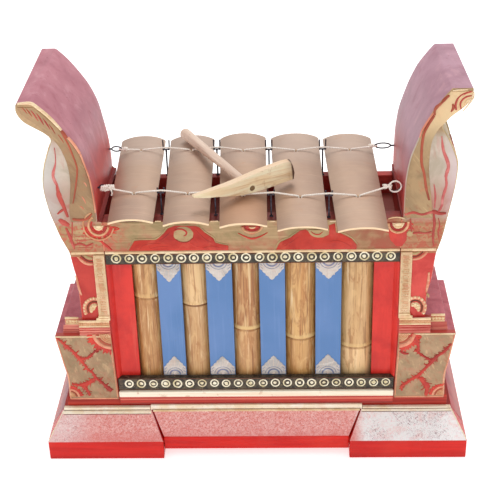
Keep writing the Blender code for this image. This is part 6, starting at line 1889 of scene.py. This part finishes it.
bm = bmesh.new()
foot_dark = Relief("foot_line_gaps", front_of(-0.0787), mat_brown_line, "gold_paint", sink=0.0010)
for s in (-1, 1):
    tag = "left" if s < 0 else "right"
    xs = [s * (0.1690 + (0.3075 - 0.1690) * k / 10) for k in range(11)]
    lip(bm, xs, 0.0655, 0.0700 if s < 0 else 0.0682)
    on = on_slope(-0.0778, 0.0660, FOOT_FRONT, 0.0335)
    lower = Relief(f"foot_slope_line_{tag}", on, mat_lip, "cream_gold")
    deep, wide = (0.0044, 0.0058) if s < 0 else (0.0032, 0.0040)
    lower.ridge([(s * (0.1672 + (0.3085 - 0.1672) * k / 12), deep) for k in range(13)], wide, 0.0012, steps=1)
    lower.done()
    worn = Relief(f"foot_corner_{tag}", on, mat_lip, "cream_gold")
    run = math.hypot(FOOT_FRONT + 0.0778, 0.0660 - 0.0335)
    worn.ridge([(s * (0.3086 + (0.3290 - 0.3086) * k / 14), 0.0020 + (run - 0.0045) * k / 14) for k in range(15)], 0.0016, 0.0005, steps=1, wild=0.5)
    worn.done()
    gap_line = Relief(f"foot_slope_gap_{tag}", on, mat_brown_line, "gold_paint")
    for v, w in ((deep - wide / 2 - 0.0004, 0.0010), (deep + wide / 2 + 0.0004, 0.0008)):
        gap_line.ridge([(s * (0.1675 + (0.3080 - 0.1675) * k / 12), v) for k in range(13)], w, 0.0006, steps=1, wild=0.5)
    gap_line.done()
lip(bm, [-0.1680 + 0.3360 * k / 20 for k in range(21)], 0.0655, 0.0742, -0.0791)
keep("foot_lines", bm, mat_lip, smooth=30)
foot_dark.ridge([(-0.1655 + 0.3310 * k / 20, 0.0672) for k in range(21)], 0.0009, 0.0011, steps=1)
foot_dark.done()
centre_line = Relief("centre_slope_line", on_slope(-0.0778, 0.0660, CENTRE_FRONT, 0.0375), mat_cream, "cream_gold")
centre_line.ridge([(-0.1645 + 0.3290 * k / 20, 0.0022) for k in range(21)], 0.0036, 0.0010, steps=1)
centre_line.done()

# ---------------------------------------------------------------- sides and rear
def on_side(s):
    """Outer side of an end board; u is y, v is z."""
    def at(u, v, h):
        deep = BOARD_REAR[s](v) - BOARD_FRONT[s](v)
        share = (u - BOARD_FRONT[s](v)) / deep
        return Vector((OUT_X[s](v) + BOARD_LEAN[s](v) * share + s * h, u, v))
    return at


for s in (-1, 1):
    tag = "left" if s < 0 else "right"
    red = Relief(f"side_vines_{tag}", on_side(s), mat_vein, "red_enamel")
    gold = Relief(f"side_scrolls_{tag}", on_side(s), mat_gold, "gold_paint")
    cream = Relief(f"side_lines_{tag}", on_side(s), mat_cream, "cream_gold")
    brown = Relief(f"side_cuts_{tag}", on_side(s), mat_brown_line, "gold_paint")
    y0, y1 = CASE_FRONT + 0.004, CASE_REAR - 0.004
    mid = (y0 + y1) / 2
    # lobe: border lines, a vine that climbs from the middle, curls on both sides
    for y in (y0 + 0.002, y1 - 0.002):
        cream.ridge([(y, 0.4080 + 0.1200 * k / 20) for k in range(21)], 0.0026, 0.0012, steps=1)
    cream.ridge([(y0 + (y1 - y0) * k / 16, 0.4060) for k in range(17)], 0.0026, 0.0012, steps=1)
    cream.ridge([(y0 + (y1 - y0) * k / 16, 0.3525) for k in range(17)], 0.0044, 0.0014, steps=1)
    for way in (-1, 1):
        stem = [(mid, 0.412), (mid + way * 0.010, 0.428), (mid + way * 0.028, 0.440), (mid + way * 0.046, 0.456), (mid + way * 0.054, 0.478), (mid + way * 0.046, 0.500), (mid + way * 0.030, 0.508)]
        red.ridge(stem, [0.0050, 0.0046, 0.0044, 0.0042, 0.0038, 0.0034, 0.0022], 0.0018)
        gold.scroll(mid + way * 0.026, 0.488, 0.019, 60 if way > 0 else 120, 1.15, 0.0046, 0.0022, turn=way)
        gold.scroll(mid + way * 0.060, 0.430, 0.015, 200 if way > 0 else -20, 1.1, 0.0040, 0.0020, turn=-way)
        for k, (du, v, a) in enumerate(((0.018, 0.437, 80), (0.038, 0.449, 60), (0.050, 0.466, 20), (0.066, 0.490, 70), (0.070, 0.455, 20), (0.010, 0.452, 100))):
            red.leaf(mid + way * du, v, a if way > 0 else 180 - a, 0.016, 0.0052, 0.0016, bend=0.2 * way)
    red.leaf(mid, 0.430, 90, 0.030, 0.0090, 0.0020)
    gold.dome(mid, 0.470, 0.0080, 0.0030, n=20)
    gold.arc(mid, 0.470, 0.0118, 0.0030, 0.0018, n=26)
    # horn: strokes that follow the curl
    for k in range(9):
        y = y0 + 0.012 + (y1 - y0 - 0.024) * k / 8
        (red if k % 2 else brown).ridge([(y, 0.545), (y + 0.003, 0.556), (y, 0.568), (y - 0.002, 0.580)], 0.0030, 0.0013, taper=0.3)
    # band at rail height
    for k in range(7):
        y = y0 + 0.014 + (y1 - y0 - 0.028) * k / 6
        red.arc(y, 0.358, 0.0105, 0.0030, 0.0014, 0, 180, n=14)
        gold.dome(y, 0.358, 0.0056, 0.0022, n=14, a0=0, a1=180)
        red.leaf(y + 0.0115, 0.3700, 90, 0.022, 0.0048, 0.0014)
    # waist: red field with a gold frame and two half rosettes
    for y in (y0 + 0.003, y1 - 0.003):
        gold.ridge([(y, 0.2400 + 0.1040 * k / 12) for k in range(13)], 0.0034, 0.0014, steps=1)
    for u, v, a0, a1 in ((mid, 0.2375, 0, 180), (mid, 0.3475, 180, 360)):
        gold.arc(u, v, 0.0200, 0.0050, 0.0020, a0, a1, n=18)
        brown.arc(u, v, 0.0155, 0.0026, 0.0008, a0, a1, n=16)
        gold.dome(u, v, 0.0105, 0.0026, n=18, a0=a0, a1=a1, wild=0.1)
    for way in (-1, 1):
        gold.scroll(mid + way * 0.048, 0.292, 0.022, 90, 1.2, 0.0046, 0.0018, turn=way)
        for k in range(3):
            gold.leaf(mid + way * (0.030 + 0.012 * k), 0.262 + 0.004 * k, 90 - way * 20, 0.015, 0.0046, 0.0014)
            gold.leaf(mid + way * (0.030 + 0.012 * k), 0.326 - 0.004 * k, -90 + way * 20, 0.015, 0.0046, 0.0014)
    for layer in (red, gold, cream, brown):
        layer.done()

# outer sides of the end blocks, which lean
_levels = [(0.3080, BLOCK_TOP), (0.3033, 0.1780), (0.2990, 0.1510), (0.2955, 0.1340), (0.2950, 0.1120), (0.2958, FLOOR_Z + GAP)][::-1]


def block_x(z):
    for (x0, z0), (x1, z1) in zip(_levels, _levels[1:]):
        if z <= z1:
            return x0 + (x1 - x0) * (z - z0) / (z1 - z0)
    return _levels[-1][0]


for s in (-1, 1):
    tag = "left" if s < 0 else "right"
    at = lambda u, v, h, s=s: Vector((s * (block_x(v) + h), u, v))
    red = Relief(f"block_side_vines_{tag}", at, mat_vein, "red_enamel")
    gold = Relief(f"block_side_gold_{tag}", at, mat_pink_gold, "gold_paint")
    y0, y1 = BLOCK_FRONT + 0.004, BLOCK_REAR - 0.004
    mid = (y0 + y1) / 2
    for z in (0.0905, 0.2045):
        gold.ridge([(y0 + (y1 - y0) * k / 16, z) for k in range(17)], 0.0026, 0.0011, steps=1)
    for y in (y0, y1):
        gold.ridge([(y, 0.0905 + 0.1140 * k / 12) for k in range(13)], 0.0026, 0.0011, steps=1)
    gold.arc(mid, 0.0920, 0.0250, 0.0054, 0.0018, 0, 180, n=18)
    gold.dome(mid, 0.0920, 0.0150, 0.0024, n=18, a0=0, a1=180, wild=0.08)
    for way in (-1, 1):
        red.ridge([(mid + way * 0.028, 0.100), (mid + way * 0.044, 0.116), (mid + way * 0.050, 0.140), (mid + way * 0.034, 0.158), (mid + way * 0.012, 0.168), (mid, 0.186)], [0.0030, 0.0048, 0.0046, 0.0050, 0.0040, 0.0020], 0.0016)
        red.ridge([(mid + way * 0.050, 0.138), (mid + way * 0.062, 0.156), (mid + way * 0.066, 0.180), (mid + way * 0.056, 0.194)], [0.0030, 0.0044, 0.0036, 0.0020], 0.0015)
        for du, v, a in ((0.036, 0.112, 120), (0.054, 0.126, 10), (0.040, 0.152, 250), (0.020, 0.164, 110), (0.064, 0.168, 0), (0.058, 0.190, 150)):
            red.leaf(mid + way * du, v, a if way > 0 else 180 - a, 0.012, 0.0040, 0.0013, bend=0.15)
        gold.scroll(mid + way * 0.022, 0.134, 0.012, 90, 1.1, 0.0032, 0.0014, turn=way)
    red.done()
    gold.done()
    rear = Relief(f"block_rear_{tag}", back_of(BLOCK_REAR), mat_pink_gold, "gold_paint")
    for z in (0.0905, 0.2045):
        rear.ridge([(s * (0.2230 + 0.0700 * k / 6), z) for k in range(7)], 0.0026, 0.0011, steps=1)
    rear.arc(s * 0.2570, 0.1480, 0.0170, 0.0036, 0.0014, n=28)
    rear.dome(s * 0.2570, 0.1480, 0.0090, 0.0020, n=18)
    for k in range(8):
        a = 45 * k
        rear.leaf(s * 0.2570 + 0.019 * math.cos(math.radians(a)), 0.1480 + 0.019 * math.sin(math.radians(a)), a, 0.011, 0.0040, 0.0012)
    rear.done()

# rear panel: gold frame, a row of rings like the front strips, three rosettes
lo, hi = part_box("rear_panel")
gold = Relief("rear_gold", back_of(hi.y), mat_gold, "gold_paint")
cream = Relief("rear_cream", back_of(hi.y), mat_cream, "cream_gold")
for z in (0.0935, 0.3885, 0.1180, 0.3640):
    cream.ridge([(-0.2120 + 0.4240 * k / 30, z) for k in range(31)], 0.0030, 0.0013, steps=1)
for x in (-0.2120, 0.2120):
    cream.ridge([(x, 0.0935 + 0.2950 * k / 20) for k in range(21)], 0.0030, 0.0013, steps=1)
for z in (0.1058, 0.3762):
    for k in range(22):
        x = -0.2005 + 0.4010 * k / 21
        cream.arc(x, z, 0.0062, 0.0020, 0.0009, n=20)
        cream.dome(x, z, 0.0026, 0.0010, n=8)
for x, size in ((0.0, 1.0), (-0.132, 0.8), (0.132, 0.8)):
    z = 0.241
    gold.dome(x, z, 0.0150 * size, 0.0030, n=24)
    gold.arc(x, z, 0.0225 * size, 0.0054 * size, 0.0022, n=36)
    for k in range(12):
        a = 30 * k
        c, s_ = math.cos(math.radians(a)), math.sin(math.radians(a))
        gold.leaf(x + 0.027 * size * c, z + 0.027 * size * s_, a, 0.030 * size, 0.0110 * size, 0.0020)
    for k in range(4):
        a = 45 + 90 * k
        c, s_ = math.cos(math.radians(a)), math.sin(math.radians(a))
        gold.scroll(x + 0.078 * size * c * 0.86, z + 0.078 * size * s_, 0.017 * size, a + 180, 1.15, 0.0046 * size, 0.0018, turn=1 if k % 2 else -1)
gold.done()
cream.done()

# rear faces of the end boards: a gold border that follows their outline
for s in (-1, 1):
    tag = "left" if s < 0 else "right"
    Y = BOARD_REAR[s]
    at = lambda u, v, h, Y=Y: Vector((u, Y(v) + h, v))
    gold = Relief(f"board_rear_lines_{tag}", at, mat_gold, "gold_paint")
    zs = [0.245 + (0.575 - 0.245) * k / 44 for k in range(45)]
    gold.ridge([(OUT_X[s](z) + BOARD_LEAN[s](z) - s * 0.0042, z) for z in zs], 0.0032, 0.0014, steps=1)
    gold.ridge([(in_x(s, z) + BOARD_LEAN[s](z) + s * 0.0042, z) for z in zs], 0.0032, 0.0014, steps=1)
    for z, w in ((0.300, 0.6), (0.360, 0.7), (0.430, 1.0), (0.480, 1.0)):
        c = (OUT_X[s](z) + in_x(s, z)) / 2 + BOARD_LEAN[s](z)
        gold.arc(c, z, 0.0125 * w, 0.0034 * w, 0.0014, n=24)
        gold.dome(c, z, 0.0062 * w, 0.0018, n=14)
    gold.done()

# ---------------------------------------------------------------- floor, light, backdrop
def stage_material():
    m = Mat("studio_floor", rough=0.9, spec=0.0)
    m.shader.inputs["Emission Color"].default_value = (1, 1, 1, 1)
    m.shader.inputs["Emission Strength"].default_value = 0.60
    soft = m.noise(3, 2)
    return m.done(m.mix(m.step(soft, 0.3, 0.7), (0.90, 0.90, 0.90, 1), (0.93, 0.93, 0.93, 1)))


bm = bmesh.new()
for x, y in ((-6, -6), (6, -6), (6, 6), (-6, 6)):
    bm.verts.new((x, y, -0.0004))
bm.faces.new(bm.verts)
floor = loose("floor", bm)
floor.data.materials.append(stage_material())

world = bpy.data.worlds.new("studio")
bpy.context.scene.world = world
world.use_nodes = True
wt = world.node_tree
sky = wt.nodes["Background"]
coords = wt.nodes.new("ShaderNodeTexCoord")
split = wt.nodes.new("ShaderNodeSeparateXYZ")
wt.links.new(coords.outputs["Generated"], split.inputs[0])
rise = wt.nodes.new("ShaderNodeMapRange")
rise.inputs["From Min"].default_value = 0.1
rise.inputs["From Max"].default_value = 1.0
rise.inputs["To Min"].default_value = 0.52
rise.inputs["To Max"].default_value = 0.86
wt.links.new(split.outputs[2], rise.inputs["Value"])
wt.links.new(rise.outputs[0], sky.inputs["Strength"])
sky.inputs["Color"].default_value = (1.0, 0.99, 0.985, 1)


def lamp(name, spot, aim, size, power, colour=(1, 1, 1)):
    light = bpy.data.lights.new(name, "AREA")
    light.shape, light.size, light.energy, light.color = "SQUARE", size, power, colour
    obj = bpy.data.objects.new(name, light)
    bpy.context.scene.collection.objects.link(obj)
    obj.location = spot
    obj.rotation_mode = "QUATERNION"
    obj.rotation_quaternion = (Vector(aim) - Vector(spot)).to_track_quat("-Z", "Y")
    return obj


lamp("key_light", (0.25, 1.1, 2.7), (0, 0, 0.3), 1.3, 25)
lamp("front_fill", (-0.3, -2.7, 1.6), (0, 0, 0.25), 1.8, 13)

bpy.context.scene.view_settings.view_transform = "Standard"
bpy.context.scene.view_settings.look = "None"
